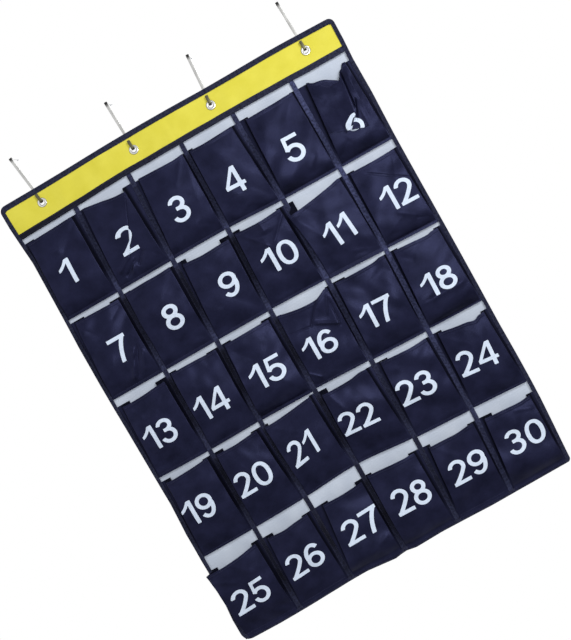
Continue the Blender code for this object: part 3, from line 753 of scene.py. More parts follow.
# Edge binding
def edge_stations():
    """Points round the sheet's edge, anticlockwise from the left end of the top edge, each with
    the direction into the sheet, by the names of the four edges."""
    corners = (
        (SHEET_LEFT, SHEET_BOTTOM, 1, 1, 180),
        (SHEET_RIGHT, SHEET_BOTTOM, -1, 1, 270),
        (SHEET_RIGHT, SHEET_TOP, -1, -1, 0),
        (SHEET_LEFT, SHEET_TOP, 1, -1, 90),
    )
    turns = []
    for (x, z, right, up, start), radius in zip(corners, CORNER_RADII):
        centre = np.array([x + right * radius, z + up * radius])
        angles = np.radians(start + np.linspace(0, 90, CORNER_STEPS + 1))
        outward = np.stack([np.cos(angles), np.sin(angles)], 1)
        turns.append((centre + radius * outward, -outward))
    lower_left, lower_right, upper_right, upper_left = turns

    def straight(first, last):
        begin, end = first[0][-1], last[0][0]
        count = round(np.linalg.norm(end - begin) / TAPE_STEP)
        shares = np.linspace(0, 1, count + 1)[:, None]
        return begin + (end - begin) * shares, np.repeat(first[1][-1:], count + 1, 0)

    def joined(first, *rest):
        return [np.concatenate([first[k], *(part[k][1:] for part in rest)]) for k in (0, 1)]

    return {
        "left": straight(upper_left, lower_left),
        "bottom": joined(lower_left, straight(lower_left, lower_right), lower_right),
        "right": straight(lower_right, upper_right),
        "top": joined(upper_right, straight(upper_right, upper_left), upper_left),
    }


def binding_profile():
    """The folded tape's outer and inner lines, as (reach into the sheet, depth)."""
    back, front = BINDING_DEPTHS
    radius = (front - back) / 2
    angles = np.radians(np.linspace(90, 270, BINDING_FOLD_STEPS + 1))
    turn = np.stack([np.cos(angles), np.sin(angles)], 1)
    flats = np.linspace(BINDING_WIDTH, radius, 4)[:-1]
    lines = []
    for shrink in (0, FOLDED_WALL):
        bend = np.array([radius, back + radius]) + (radius - shrink) * turn
        fore = np.stack([flats, np.full(len(flats), front - shrink)], 1)
        rear = np.stack([flats[::-1], np.full(len(flats), back + shrink)], 1)
        lines.append(np.concatenate([fore, bend, rear]))
    return lines


def make_bindings(finish, stations):
    """The tapes folded round the sheet's four edges, by the names of the edges."""
    made = {}
    profile = binding_profile()
    around = way_along(profile[0][::-1])
    seed, *wave = BINDING_WANDER
    for k, (name, (places, inward)) in enumerate(stations.items()):
        length = way_along(places)
        wider = TOP_BINDING_EXTRA_SHARE * BINDING_WIDTH if name == "top" else 0
        swell = ripples(length, 0 * length, seed + k, *wave) + wider
        pair = []
        for line in profile:
            reach, depth = line[::-1].T
            reach = reach + swell[:, None] * (reach / BINDING_WIDTH)
            at = places[:, None, :] + inward[:, None, :] * reach[..., None]
            depth = np.broadcast_to(depth, reach.shape)
            pair.append(hang(np.stack([at[..., 0], depth, at[..., 1]], -1)))
        flat = np.stack(np.meshgrid(around, length), -1)
        binding = add_slab(f"edge_tape_{name}", *pair, finish, CLOTH_SHARP, flat)
        made[name] = fit(binding, f"binding_{name}")
    return made


# Pockets
class Pocket:
    """One pocket's cloth. Its front is a surface over (share across, share of its height)."""

    def __init__(self, number):
        self.number = number
        self.name = f"pocket_{number:02d}"
        row, column = divmod(number - 1, COLUMNS)
        *ends, (self.turn, self.nod, self.fullness) = POCKET_SHARES[number]
        self.left = GRID_LEFT + column * COLUMN_PITCH
        self.seam = GRID_TOP - (row + 1) * ROW_PITCH
        self.foot = node_box(self.name)[1][0] - FOOT_DROPS[row] - EXTRA_DROPS.get(number, 0)
        self.stitched = max(self.seam, self.foot) + SEAM_HEIGHT
        self.random = np.random.default_rng(POCKET_SEED + number)
        self.depth = POCKET_DEPTH * self.random.uniform(*DEPTH_SHARES)
        self.mouth_x, self.mouth_z = self.at(*np.array(MOUTH_SHARES[number]).T)
        self.power = FOLD_POWERS.get(number, USUAL_FOLD_POWER)
        self.fineness = FINENESS.get(number, 1)
        self.sides = []
        for side, (reach, height, inset) in zip((1, -1), ends):
            origin = self.left if side > 0 else self.left + COLUMN_PITCH
            outer = column == (0 if side > 0 else COLUMNS - 1)
            root = origin + (0 if outer else side * TAPE_WIDTH / 2)
            self.sides.append(
                {
                    "side": side,
                    "end": root - side * (TAPE_WIDTH / 2 - FLANGE_GAP),
                    "root": root,
                    "inner": origin + side * reach * COLUMN_PITCH,
                    "top": self.seam + height * ROW_PITCH,
                    "fold_low": root + side * FOOT_INSET,
                    "fold_high": origin + side * inset * COLUMN_PITCH,
                }
            )
        self.waves = self.random.integers(1 << 30)
        self.creases = self.tension_creases() + list(CREASE_SHARES.get(number, ()))

    def at(self, x_share, z_share):
        """The flat place at shares of the cell."""
        return self.left + x_share * COLUMN_PITCH, self.seam + z_share * ROW_PITCH

    def tension_creases(self):
        """Soft creases that run in from the mouth's ends and up from the foot's corners."""
        creases = []
        for x, inwards in zip(TENSION_STARTS_X_SHARES, (1, -1)):
            for z, onwards in zip(TENSION_STARTS_Z_SHARES, (-1, 1)):
                run, rise, width, height = (self.random.uniform(*ends) for ends in TENSION_SHARES)
                creases.append((x, z, x + run * inwards, z + rise * onwards, width, height))
        return creases

    def mouth_height(self, share):
        """The mouth's flat height at shares across the front."""
        x = self.fold_x(0, 1.0) * (1 - share) + self.fold_x(1, 1.0) * share
        return stop_weights(x, self.mouth_x) @ self.mouth_z

    def fold_x(self, side, t):
        """The place across of one side's folded front edge, at shares of the height."""
        low, high = self.sides[side]["fold_low"], self.sides[side]["fold_high"]
        return low + (high - low) * np.asarray(t) ** self.power

    def opened(self, z, top):
        """How far open the pocket is at flat heights, from 0 at its seam to 1 at its top."""
        t = np.clip((z - self.stitched) / (top - self.stitched), 0, 1)
        return 1 - (1 - t) ** self.fullness

    def relief(self, x, z):
        """Creases and unevenness, as a depth offset at flat places."""
        height = sum(ripples(x, z, self.waves + k, *wave) for k, wave in enumerate(CLOTH_WAVES))
        for start_x, start_z, end_x, end_z, width, rise in self.creases:
            a = np.array(self.at(start_x, start_z))
            b = np.array(self.at(end_x, end_z))
            length = np.linalg.norm(b - a)
            along = (b - a) / length
            run = (x - a[0]) * along[0] + (z - a[1]) * along[1]
            off = -(x - a[0]) * along[1] + (z - a[1]) * along[0]
            fall = np.exp(-(np.sqrt(off**2 + CREASE_TIP**2) - CREASE_TIP) / (width * COLUMN_PITCH))
            fade = CREASE_FADE_SHARE * length
            taper = smoothstep(run / fade + 0.5) * smoothstep((length - run) / fade + 0.5)
            height += rise * POCKET_DEPTH * fall * taper
        return height

    def front(self, share, t):
        """Flat places (x, depth, z) of the front panel."""
        share, t = np.broadcast_arrays(np.asarray(share, float), np.asarray(t, float))
        shape = share.shape
        share, t = share.ravel(), t.ravel()
        top = self.mouth_height(share)
        z = self.foot + (top - self.foot) * t
        x = self.fold_x(0, t) * (1 - share) + self.fold_x(1, t) * share
        opened = self.opened(z, top)
        depth = 2 * FOOT_LAYER + (self.depth - 2 * FOOT_LAYER) * opened
        depth += BELLY_SHARE * self.depth * opened * 4 * share * (1 - share)
        depth += POCKET_DEPTH * opened * (self.turn * (0.5 - share) + self.nod * (0.5 - t))
        depth += self.relief(x, z) * smoothstep((z - self.stitched) / FOOT_FADE)
        into_hem = HEM_WIDTH - (top - z)
        depth += HEM_STEP * smoothstep(into_hem / HEM_EDGE + 0.5)
        depth -= HEM_STEP / 2 * np.exp(-(((STITCH_INSET - into_hem) / STITCH_DENT) ** 2))
        for tuck in TUCK_SHARES.get(self.number, ()):
            x, depth, z = self.tucked(x, depth, z, *tuck)
        return np.stack([x, depth + FLANGE_MIDDLE, z], -1).reshape(shape + (3,))

    def tucked(self, x, depth, z, kind, start, end, overlap, fades):
        """Folds the cloth over itself along a line, so that one part of it lies over another."""
        a, b = self.at(*start), self.at(*end)
        if kind == "upper over lower":
            along = (x - a[0]) / (b[0] - a[0])
            off = z - (a[1] + (b[1] - a[1]) * along)
        else:
            along = (z - a[1]) / (b[1] - a[1])
            off = a[0] + (b[0] - a[0]) * along - x
        wide = overlap * COLUMN_PITCH * smoothstep(along / fades[0]) * smoothstep((1 - along) / fades[1])
        wide = np.maximum(wide, MM / 1000)
        beyond = off - 2 * wide
        turned = smoothstep(off / wide - 0.5)
        shift = 2 * wide * turned
        fall = np.exp(-np.maximum(beyond, 0) / TUCK_FALL)
        rise = TUCK_LAYERS * smoothstep(wide / TUCK_WIDTH) * turned * fall
        if kind == "upper over lower":
            return x, depth + rise, z - shift
        room = abs(self.fold_x(0, TUCK_ROOM_SHARE) - a[0])
        return x + shift * (1 - smoothstep(beyond / room)), depth + rise, z


def near_corner(corner, other, radius):
    """Where a rounded corner's bend begins, on the way to another point."""
    way = other - corner
    gap = np.linalg.norm(way, axis=1, keepdims=True)
    return corner + way / np.maximum(gap, 1e-9) * np.minimum(radius, gap * FOLD_REACH_SHARE)


def bent(points, radii, counts):
    """A line with rounded corners through control points of shape (rows, 3), as (rows, n, 3)
    without its last point. counts gives the points of each straight run, and radii the reach
    of each corner."""
    parts = []
    last = points[0]
    u = np.arange(FOLD_COLUMNS)[:, None, None] / FOLD_COLUMNS
    for k, (corner, count) in enumerate(zip(points[1:], counts)):
        stop = near_corner(corner, last, radii[k]) if k < len(radii) else corner
        parts.append(last + (stop - last) * (np.arange(count) / count)[:, None, None])
        if k < len(radii):
            last = near_corner(corner, points[k + 2], radii[k])
            parts.append((1 - u) ** 2 * stop + 2 * u * (1 - u) * corner + u * u * last)
    return np.concatenate(parts).transpose(1, 0, 2)


def pocket_grid(pocket, rows):
    """The pocket cloth's middle surface in the flat layout, from one sewn end to the other."""
    edge = PLEAT_FOLD / COLUMN_PITCH
    width = np.linspace(0, 1, FRONT_COLUMNS * pocket.fineness + 1)
    front = pocket.front(edge + (1 - 2 * edge) * width, rows[:, None])
    halves = []
    for k, side in enumerate(pocket.sides):
        z = pocket.foot + (side["top"] - pocket.foot) * rows
        opened = pocket.opened(z, side["top"])
        deep = FOOT_LAYER + (PLEAT_DEPTH_SHARE * pocket.depth - FOOT_LAYER) * opened
        places = ((side["end"], 0), (side["root"], 0), (side["inner"], deep))
        flat = [np.stack(np.broadcast_arrays(x, FLANGE_MIDDLE + depth, z), 1) for x, depth in places]
        fold = pocket.front(float(k), rows)
        joint = front[:, -1 if k else 0]
        radii = (SEWN_FOLD, PLEAT_FOLD, PLEAT_FOLD)
        halves.append(bent([*flat, fold, joint], radii, (1, PLEAT_COLUMNS, PLEAT_COLUMNS, 1)))
    return np.concatenate([halves[0], front, halves[1][:, ::-1]], 1)


def pleat_shade(pocket, rows, flat):
    """From 0 to 1, the painted shade by how deep each point lies in the gap beside the front's fold."""
    shade = np.zeros(flat.shape[:2])
    front_columns = FRONT_COLUMNS * pocket.fineness + 1
    side_columns = (shade.shape[1] - front_columns) // 2 - FOLD_COLUMNS - 2
    for k, columns in enumerate((slice(0, side_columns), slice(-side_columns, None))):
        away = pocket.sides[k]["side"] * (pocket.fold_x(k, rows)[:, None] - flat[:, columns, 0])
        shade[:, columns] = smoothstep((PLEAT_SHADE - away) / PLEAT_SHADE + SHADE_FULL_SHARE)
    start, stretch = SHADE_FADE_SHARES
    return shade * smoothstep((rows - start) / stretch)[:, None]


def make_pocket(pocket, finish):
    """Adds the pocket's cloth, and gives the width of its flat sheet too."""
    middle_count = POCKET_ROWS * pocket.fineness
    middle_rows = np.linspace(FOOT_ROW_SHARES[-1], 1 - MOUTH_ROW_SHARES[-1], middle_count)[1:-1]
    rows = np.concatenate([FOOT_ROW_SHARES, middle_rows, 1 - np.array(MOUTH_ROW_SHARES)[::-1]])
    flat = pocket_grid(pocket, rows)
    grid = hang(flat)
    half = unit(np.cross(np.gradient(grid, axis=1), np.gradient(grid, axis=0))) * CLOTH_THICKNESS / 2
    steps = np.linalg.norm(np.diff(grid, axis=1), axis=2).mean(0)
    across = np.concatenate([[0], np.cumsum(steps)])
    cloth = np.stack(np.meshgrid(across, rows * ROW_PITCH), -1) + pocket.random.uniform(0, 1, 2)
    # Painted shade in the gaps beside the front, carried to the material in the pleat map
    shade = pleat_shade(pocket, rows, flat)
    pleat = np.stack([shade, 0 * shade], -1)
    sides = (grid + half, grid - half)
    piece = add_slab(f"cloth_{pocket.name}", *sides, finish, CLOTH_SHARP, cloth, pleat)
    return fit(piece, pocket.name), across[-1]


# Numerals
def bow(x, y, width, height, start, end, power=2.0):
    """A stroke along an arc about (x, y) between angles in degrees. A power above 2 squares it."""
    count = round(abs(end - start) / ARC_STEP_DEG)
    angles = np.radians(np.linspace(start, end, count + 1))
    turn = np.stack([np.cos(angles), np.sin(angles)], 1)
    reach = np.array([width, height]) * np.sign(turn) * np.abs(turn) ** (2 / power)
    return np.array([x, y]) + reach, 1.0


def bar(*points, weight=1.0):
    """A straight stroke between two points, or a curved one with a pull between them."""
    points = np.array(points, float)
    if len(points) == 3:
        t = np.linspace(0, 1, CURVE_STEPS + 1)[:, None]
        points = (1 - t) ** 2 * points[0] + 2 * t * (1 - t) * points[1] + t * t * points[2]
    return points, weight


def glyph_strokes(digit):
    """The digit's width and its strokes, each a line and a weight, in shares of its height."""
    thin = THIN_SHARE
    six = (bow(0.365, 0.320, 0.273, 0.246, 0, 360), bow(0.385, 0.500, 0.293, 0.428, 40, 190))
    shapes = {
        "0": (0.75, bow(0.375, 0.500, 0.283, 0.428, 0, 360, 2.25)),
        "1": (
            0.55,
            bar((0.455, 0), (0.455, 1)),
            bar((-0.02, 0.640), (0.26, 0.73), (0.45, 1.04), weight=thin),
        ),
        "2": (
            0.72,
            bow(0.360, 0.698, 0.263, 0.232, 172, -36),
            bar((0.573, 0.562), (0.43, 0.36), (0.06, 0.055)),
            bar((0, 0.078), (0.72, 0.078)),
        ),
        "3": (
            0.72,
            bow(0.340, 0.733, 0.238, 0.197, 168, -90),
            bow(0.345, 0.304, 0.272, 0.234, 90, -170),
            bar((0.24, 0.537), (0.36, 0.537)),
        ),
        "4": (
            0.82,
            bar((0.615, 0), (0.615, 1)),
            bar((0, 0.295), (0.82, 0.295)),
            bar((0.625, 1.04), (0.025, 0.28), weight=thin),
        ),
        "5": (
            0.74,
            bar((0.130, 0.926), (0.690, 0.926)),
            bar((0.192, 0.960), (0.140, 0.480), weight=thin),
            bow(0.365, 0.335, 0.280, 0.262, 148, -168),
        ),
        "6": (0.73, *six),
        "7": (0.75, bar((0, 0.924), (0.75, 0.924)), bar((0.665, 0.93), (0.33, 0.53), (0.262, -0.04))),
        "8": (0.73, bow(0.365, 0.738, 0.226, 0.190, 0, 360), bow(0.365, 0.300, 0.273, 0.228, 0, 360)),
        "9": (0.73, *((np.array([0.73, 1.0]) - line, weight) for line, weight in six)),
    }
    return shapes[digit]


def stroke_field(x, y, line, weight):
    """How far each point lies inside a stroke with square ends, along its half width."""
    stem, squeeze = STEM_SHARE * weight / 2, STEM_SHARE / BAR_SHARE
    stretch = np.array([1.0, squeeze])
    line = line * stretch
    points = np.stack([x, y * squeeze], -1)
    runs = np.diff(line, axis=0)
    lengths = np.linalg.norm(runs, axis=1)
    along = runs / lengths[:, None]
    run = np.einsum("...kc,kc->...k", points[..., None, :] - line[:-1], along)
    near = np.clip(run, 0, lengths)
    closest = line[:-1] + near[..., None] * along
    inside = stem - np.linalg.norm(points[..., None, :] - closest, axis=-1).min(-1)
    if np.allclose(line[0], line[-1]):
        return inside
    for end, away in ((line[0], run[..., 0]), (line[-1], lengths[-1] - run[..., -1])):
        beside = np.linalg.norm(points - end, axis=-1) < SQUARE_REACH * stem
        inside = np.where(beside, np.minimum(inside, away), inside)
    return inside


def glyph_mesh(digit):
    """A flat mesh of the digit, as points, faces and a width, in metres from its lower left."""
    width, *strokes = glyph_strokes(digit)
    cell = FILM_CELL / NUMERAL_HEIGHT
    xs = np.arange(-2 * cell, width + 3 * cell, cell)
    ys = np.arange(-3 * cell, 1 + 4 * cell, cell)
    x, y = np.meshgrid(xs, ys)
    # Round feet and heads reach a little past the flat ones
    bottom = 0 if digit in "1247" else -OVERSHOOT_SHARE
    top = 1 if digit in "1457" else 1 + OVERSHOOT_SHARE
    inside = np.max([stroke_field(x, y, line, weight) for line, weight in strokes], axis=0)
    inside = np.minimum.reduce([inside, x, width - x, y - bottom, top - y])
    points, faces, known = [], [], {}

    def point(key, place):
        if key not in known:
            known[key] = len(points)
            points.append(place)
        return known[key]

    for j in range(len(ys) - 1):
        for i in range(len(xs) - 1):
            ring = ((j, i), (j, i + 1), (j + 1, i + 1), (j + 1, i))
            face = []
            for here, there in zip(ring, ring[1:] + ring[:1]):
                value, other = inside[here], inside[there]
                if value > 0:
                    face.append(point(here, (x[here], y[here])))
                if (value > 0) != (other > 0):
                    share = min(max(value / (value - other), CUT_SHARE), 1 - CUT_SHARE)
                    place = tuple(c[here] + (c[there] - c[here]) * share for c in (x, y))
                    face.append(point(frozenset((here, there)), place))
            if len(face) > 2:
                faces.append(face)
    size = np.array([NUMERAL_SPREAD, 1.0]) * NUMERAL_HEIGHT
    return np.array(points) * size, faces, width * size[0]


def film_faces(faces, count):
    """The faces of a closed film from those of its upper side, which has count points."""
    made = faces + [[v + count for v in reversed(face)] for face in faces]
    edges = dict.fromkeys(edge for face in faces for edge in zip(face, face[1:] + face[:1]))
    return made + [[b, a, a + count, b + count] for a, b in edges if (b, a) not in edges]


def on_front(pocket, x, z):
    """The shares of the pocket's front at flat places x and z."""
    share, t = np.full((2, len(x)), 0.5)
    for _ in range(6):
        low, high = pocket.fold_x(0, t), pocket.fold_x(1, t)
        share = np.clip((x - low) / (high - low), 0.0, 1.0)
        top = pocket.mouth_height(share)
        t = np.clip((z - pocket.foot) / (top - pocket.foot), 0.0, 1.0)
    return share, t


def on_cloth(pocket, share, t):
    """Places on the outer face of the pocket's front as it hangs, with its normals."""
    step = FRONT_STEP_SHARE
    across = hang(pocket.front(share + step, t)) - hang(pocket.front(share - step, t))
    up = hang(pocket.front(share, t + step)) - hang(pocket.front(share, t - step))
    normal = unit(np.cross(across, up))
    return hang(pocket.front(share, t)) + normal * CLOTH_THICKNESS / 2, normal


def make_number(pocket, glyphs, finish):
    """The pocket's number as film that follows its cloth."""
    x_share, z_share, *form = NUMBER_SHARES[pocket.number]
    tilt, wide, high, slope = form or USUAL_NUMBER_FORM_SHARES
    number_x, number_z = pocket.at(x_share, z_share)
    cosine, sine = math.cos(tilt * math.pi / 2), math.sin(tilt * math.pi / 2)
    digits = [glyphs[digit] for digit in str(pocket.number)]
    left = -(sum(span for _, _, span in digits) + NUMERAL_GAP * (len(digits) - 1)) / 2
    vertices, faces, cloth, count = [], [], [], 0
    for points, shape, span in digits:
        from_x = (points[:, 0] + left) * wide
        from_z = (points[:, 1] - NUMERAL_HEIGHT / 2) * high + from_x * slope
        x = number_x + from_x * cosine - from_z * sine
        z = number_z + from_x * sine + from_z * cosine
        places, normal = on_cloth(pocket, *on_front(pocket, x, z))
        vertices += [places + normal * FILM_RISE, places - normal * CLOTH_THICKNESS / 4]
        faces += [[v + count for v in face] for face in film_faces(shape, len(points))]
        cloth += [np.stack([x, z], 1)] * 2
        count += 2 * len(points)
        left += span + NUMERAL_GAP
    vertices, cloth = np.concatenate(vertices), np.concatenate(cloth)
    return add_object(f"number_{pocket.number:02d}", vertices, faces, finish, FILM_SHARP, cloth)


# Stitches
def stitch_mesh(places, normals):
    """Small rounded stitches along a line of places, each from one place towards the next."""
    along = np.diff(places, axis=0) * STITCH_LENGTH_SHARE / 2
    centre = (places[:-1] + places[1:]) / 2
    normal = (normals[:-1] + normals[1:]) / 2
    side = unit(np.cross(along, normal))
    rings = []
    for run, fat, lift in STITCH_RING_SHARES:
        for turn in np.radians((45, 135, 225, 315)):
            offset = side * math.cos(turn) * fat + normal * (math.sin(turn) * fat + lift)
            rings.append(centre + along * run + offset * STITCH_RADIUS)
    pattern = []
    for ring in (0, 4, 8):
        for k in range(4):
            a, b = ring + k, ring + (k + 1) % 4
            pattern.append((a, b, b + 4, a + 4))
    pattern = np.array([*pattern, (3, 2, 1, 0), (12, 13, 14, 15)])
    faces = pattern + 16 * np.arange(len(centre))[:, None, None]
    return np.stack(rings, 1).reshape(-1, 3), faces.reshape(-1, 4)


def evenly(line, *others):
    """Points a stitch apart along a line, and the values of other lists there."""
    length = way_along(line)
    stops = np.arange(0, length[-1], STITCH_PITCH)
    made = []
    for values in (line, *others):
        made.append(np.stack([np.interp(stops, length, column) for column in values.T], 1))
    return made


def sewn_rows(name, rows, finish):
    """One piece of all the stitches along rows of places with normals."""
    vertices, faces, count = [], [], 0
    for places, normals in rows:
        made, pattern = stitch_mesh(places, normals)
        vertices.append(made)
        faces.append(pattern + count)
        count += len(made)
    vertices, faces = np.concatenate(vertices), np.concatenate(faces)
    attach(add_object(name, vertices, faces, finish, STITCH_SHARP), "chart")


def flat_row(line, depth):
    """A row of stitches on a flat line of x and z, on the face at that depth."""
    ((x, z),) = (places.T for places in evenly(np.array(line, float)))
    return hang(np.stack([x, np.full(len(x), depth), z], 1)), np.tile([0.0, -1.0, 0.0], (len(x), 1))


def make_stitches(pockets, stations, thread):
    """The stitches of the pockets' hems and feet, of the tapes and of the binding."""
    rows = []
    for pocket in pockets:
        height = pocket.mouth_height(SEWN_SHARES) - pocket.foot
        hem = 1 - (HEM_WIDTH - STITCH_INSET) / height
        foot = (pocket.stitched - pocket.foot) / height
        rows += [evenly(*on_cloth(pocket, SEWN_SHARES, t)) for t in (hem, foot)]
    sewn_rows("pocket_stitches", rows, thread)
    rows = []
    crown = SEWN_CROWN_SHARE * TAPE_CROWN
    for (left, right), (bottom, top), depths in TAPE_BOXES:
        for x in (left + STITCH_INSET, right - STITCH_INSET):
            rows.append(flat_row([(x, bottom), (x, top)], depths[1] + crown))
    (left, right), (bottom, top), depths = node_box("header_tape")
    for z in (bottom + STITCH_INSET, top - STITCH_INSET):
        rows.append(flat_row([(left, z), (right, z)], depths[1] + crown))
    sewn_rows("tape_stitches", rows, thread)
    reach = BINDING_WIDTH - STITCH_INSET
    rows = [flat_row(places + inward * reach, BINDING_DEPTHS[1]) for places, inward in stations.values()]
    sewn_rows("edge_stitches", rows, thread)


# Metal
def turned(name, profile, number, finish):
    """A ring turned about an eyelet's axis from a closed line of (radius, depth) points."""
    x, z = EYELETS[number - 1]
    angles = np.arange(EYELET_STEPS) * math.tau / EYELET_STEPS
    radius, depth = np.array(profile).T
    across, up = (np.outer(wave(angles), radius) for wave in (np.cos, np.sin))
    vertices = np.stack(np.broadcast_arrays(x + across, -depth, z + up), -1).reshape(-1, 3)
    here = np.arange(len(vertices)).reshape(EYELET_STEPS, -1)
    ahead = np.roll(here, -1, 0)
    faces = np.stack([here, ahead, np.roll(ahead, -1, 1), np.roll(here, -1, 1)], -1).reshape(-1, 4)
    cloth = np.stack(np.meshgrid(radius, angles * radius.max()), -1).reshape(-1, 2)
    return add_object(name, vertices, faces, finish, EYELET_SHARP, cloth)


def make_eyelet(number, nickel):
    """An eyelet with a crowned flange and a barrel that is curled outwards behind."""
    bore, rim = eyelet_radii(number)
    (back, front), flange, wall = node_box(f"eyelet_{number}")[2], TRIM_DEPTHS[0], EYELET_WALL
    roll = bore + (rim - bore) * ROLL_SHARE
    crown = []
    for angle in np.linspace(0, math.pi, CROWN_STEPS + 1):
        swell = FLANGE_EDGE_SHARE + (1 - FLANGE_EDGE_SHARE) * abs(math.sin(angle)) ** CROWN_POWER
        radius = (bore + rim) / 2 + (rim - bore) / 2 * math.cos(angle)
        crown.append((radius, flange + (front - flange) * swell))
    curl = []
    for angle in np.linspace(0, math.pi, CURL_STEPS + 1):
        radius = (bore + roll) / 2 - (roll - bore) / 2 * math.cos(angle)
        curl.append((radius, back + wall - wall * math.sin(angle)))
    rear = back + 2 * wall
    barrel = [(bore, flange - wall), (bore, rear), *curl, (bore + wall, rear), (bore + wall, flange)]
    eyelet = turned(f"eyelet_front_{number}", [(rim, flange), *crown, *barrel], number, nickel)
    fit(eyelet, f"eyelet_{number}")


def make_washer(number, nickel):
    """The dished ring that holds an eyelet's barrel behind the cloth."""
    (left, right), _, (back, front) = node_box(f"eyelet_washer_{number}")
    outer, inner = (right - left) / 2, eyelet_radii(number)[0] + 2 * EYELET_WALL
    face = []
    for share in np.linspace(0, 1, DISH_STEPS + 1):
        dish = 1 - abs(math.sin(math.pi * share)) ** DISH_POWER
        face.append((inner + (outer - inner) * share, back + (front - back) * dish * WASHER_DISH_SHARE))
    washer = turned(f"eyelet_back_{number}", [*face, (outer, front), (inner, front)], number, nickel)
    fit(washer, f"eyelet_washer_{number}")


def make_hook(number, steel):
    """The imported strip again, with its long edges rounded off."""
    name = f"hook_strip_{number}"
    mesh = bpy.data.meshes.new(name)
    shape = bmesh.new()
    shape.from_mesh(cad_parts[f"door_hook_{number}"].data)
    bmesh.ops.remove_doubles(shape, verts=shape.verts, dist=MM / 100)
    bmesh.ops.dissolve_limit(shape, angle_limit=math.radians(1), verts=shape.verts, edges=shape.edges)
    sharp = [e for e in shape.edges if len(e.link_faces) == 2 and e.calc_face_angle() > math.radians(60)]
    bmesh.ops.bevel(shape, geom=sharp, offset=HOOK_BEVEL, segments=3, profile=0.5, affect="EDGES")
    shape.to_mesh(mesh)
    shape.free()
    fit(link_mesh(name, mesh, steel, HOOK_SHARP), f"door_hook_{number}", f"hook_{number}")


# Materials
class Finish:
    """A Principled material that is built up node by node."""

    def __init__(self, name, colour, roughness, metallic=0.0, specular=0.5):
        self.material = bpy.data.materials.new(name)
        self.material.use_nodes = True
        self.tree = self.material.node_tree
        self.shader = self.tree.nodes["Principled BSDF"]
        self.colour = colour
        self.gloss = roughness
        self.set("Base Color", colour)
        self.set("Roughness", roughness)
        self.set("Metallic", metallic)
        self.set("Specular IOR Level", specular)

    def put(self, socket, value):
        """Links another socket to this one, or sets its value."""
        if isinstance(value, bpy.types.NodeSocket):
            self.tree.links.new(value, socket)
        elif isinstance(value, tuple) and socket.type == "RGBA":
            socket.default_value = (*value, 1.0)
        else:
            socket.default_value = value

    def set(self, name, value):
        self.put(self.shader.inputs[name], value)

    def paint(self, share, first, second):
        """Gives the surface a mix of two colours."""
        self.colour = self.node("ShaderNodeMix", {0: share, 6: first, 7: second}, 2, data_type="RGBA")
        self.set("Base Color", self.colour)

    def node(self, kind, inputs, output=0, **settings):
        made = self.tree.nodes.new(kind)
        for key, value in settings.items():
            setattr(made, key, value)
        for key, value in inputs.items():
            self.put(made.inputs[key], value)
        return made.outputs[output]

    def math(self, operation, first, second=0.0):
        return self.node("ShaderNodeMath", {0: first, 1: second}, operation=operation)

    def add(self, first, second):
        return self.math("ADD", first, second)

    def times(self, first, second):
        return self.math("MULTIPLY", first, second)

    def larger(self, first, second):
        return self.math("MAXIMUM", first, second)

    def blend(self, first, share, second, other_share):
        return self.add(self.times(first, share), self.times(second, other_share))

    def place(self):
        """The place on the flat cloth, in metres."""
        return self.node("ShaderNodeUVMap", {}, uv_map="cloth")

    def space(self):
        """The place in the part's own space, in metres."""
        return self.node("ShaderNodeTexCoord", {}, "Object")

    def split(self, vector):
        """The x, y and z of a vector."""
        return self.node("ShaderNodeSeparateXYZ", {0: vector}).node.outputs

    def stretched(self, place, by):
        return self.node("ShaderNodeVectorMath", {0: place, 1: Vector(by)}, operation="MULTIPLY")

    def noise(self, place, length, detail=2.0):
        inputs = {"Vector": place, "Scale": 1 / length, "Detail": detail}
        return self.node("ShaderNodeTexNoise", inputs, "Fac")

    def ramp(self, value, low, high, first=0.0, second=1.0):
        """Maps a value from between low and high to between two numbers."""
        inputs = {"Value": value, "From Min": low, "From Max": high, "To Min": first, "To Max": second}
        return self.node("ShaderNodeMapRange", inputs)

    def spread(self, noise, first=0.0, second=1.0):
        """Maps a noise to between two numbers."""
        return self.ramp(noise, *NOISE_SHARES, first, second)

    def bump(self, height, distance, below=None):
        inputs = {"Height": height, "Distance": distance}
        if below is not None:
            inputs["Normal"] = below
        return self.node("ShaderNodeBump", inputs)

    def weave(self, place, pitch):
        """The height of a plain weave, from -1 to 1, with its threads that pitch apart."""
        across, up, _ = self.split(self.stretched(place, [math.pi / pitch] * 3))
        return self.times(self.math("SINE", across), self.math("SINE", up))


def oxford(name, dark, light, roughness, specular):
    """Coated oxford cloth: a plain weave with uneven threads and soft, worn patches."""
    finish = Finish(name, light, roughness, specular=specular)
    place = finish.place()
    weave = finish.weave(place, OXFORD_PITCH)
    slub = finish.noise(finish.stretched(place, (1, 14, 1)), SLUB_LENGTH)
    thread = finish.noise(finish.stretched(place, (14, 1, 1)), SLUB_LENGTH)
    patch = finish.noise(place, PATCH_LENGTH, 3.0)
    uneven = finish.blend(slub, 0.5, thread, 0.5)
    tone = finish.add(finish.blend(patch, 0.6, uneven, 0.4), finish.times(weave, 0.08))
    finish.paint(finish.spread(tone), dark, light)
    finish.gloss = finish.spread(uneven, roughness - 0.08, roughness + 0.08)
    finish.set("Roughness", finish.gloss)
    finish.set("Normal", finish.bump(uneven, 0.03 * MM, finish.bump(weave, 0.012 * MM)))
    return finish


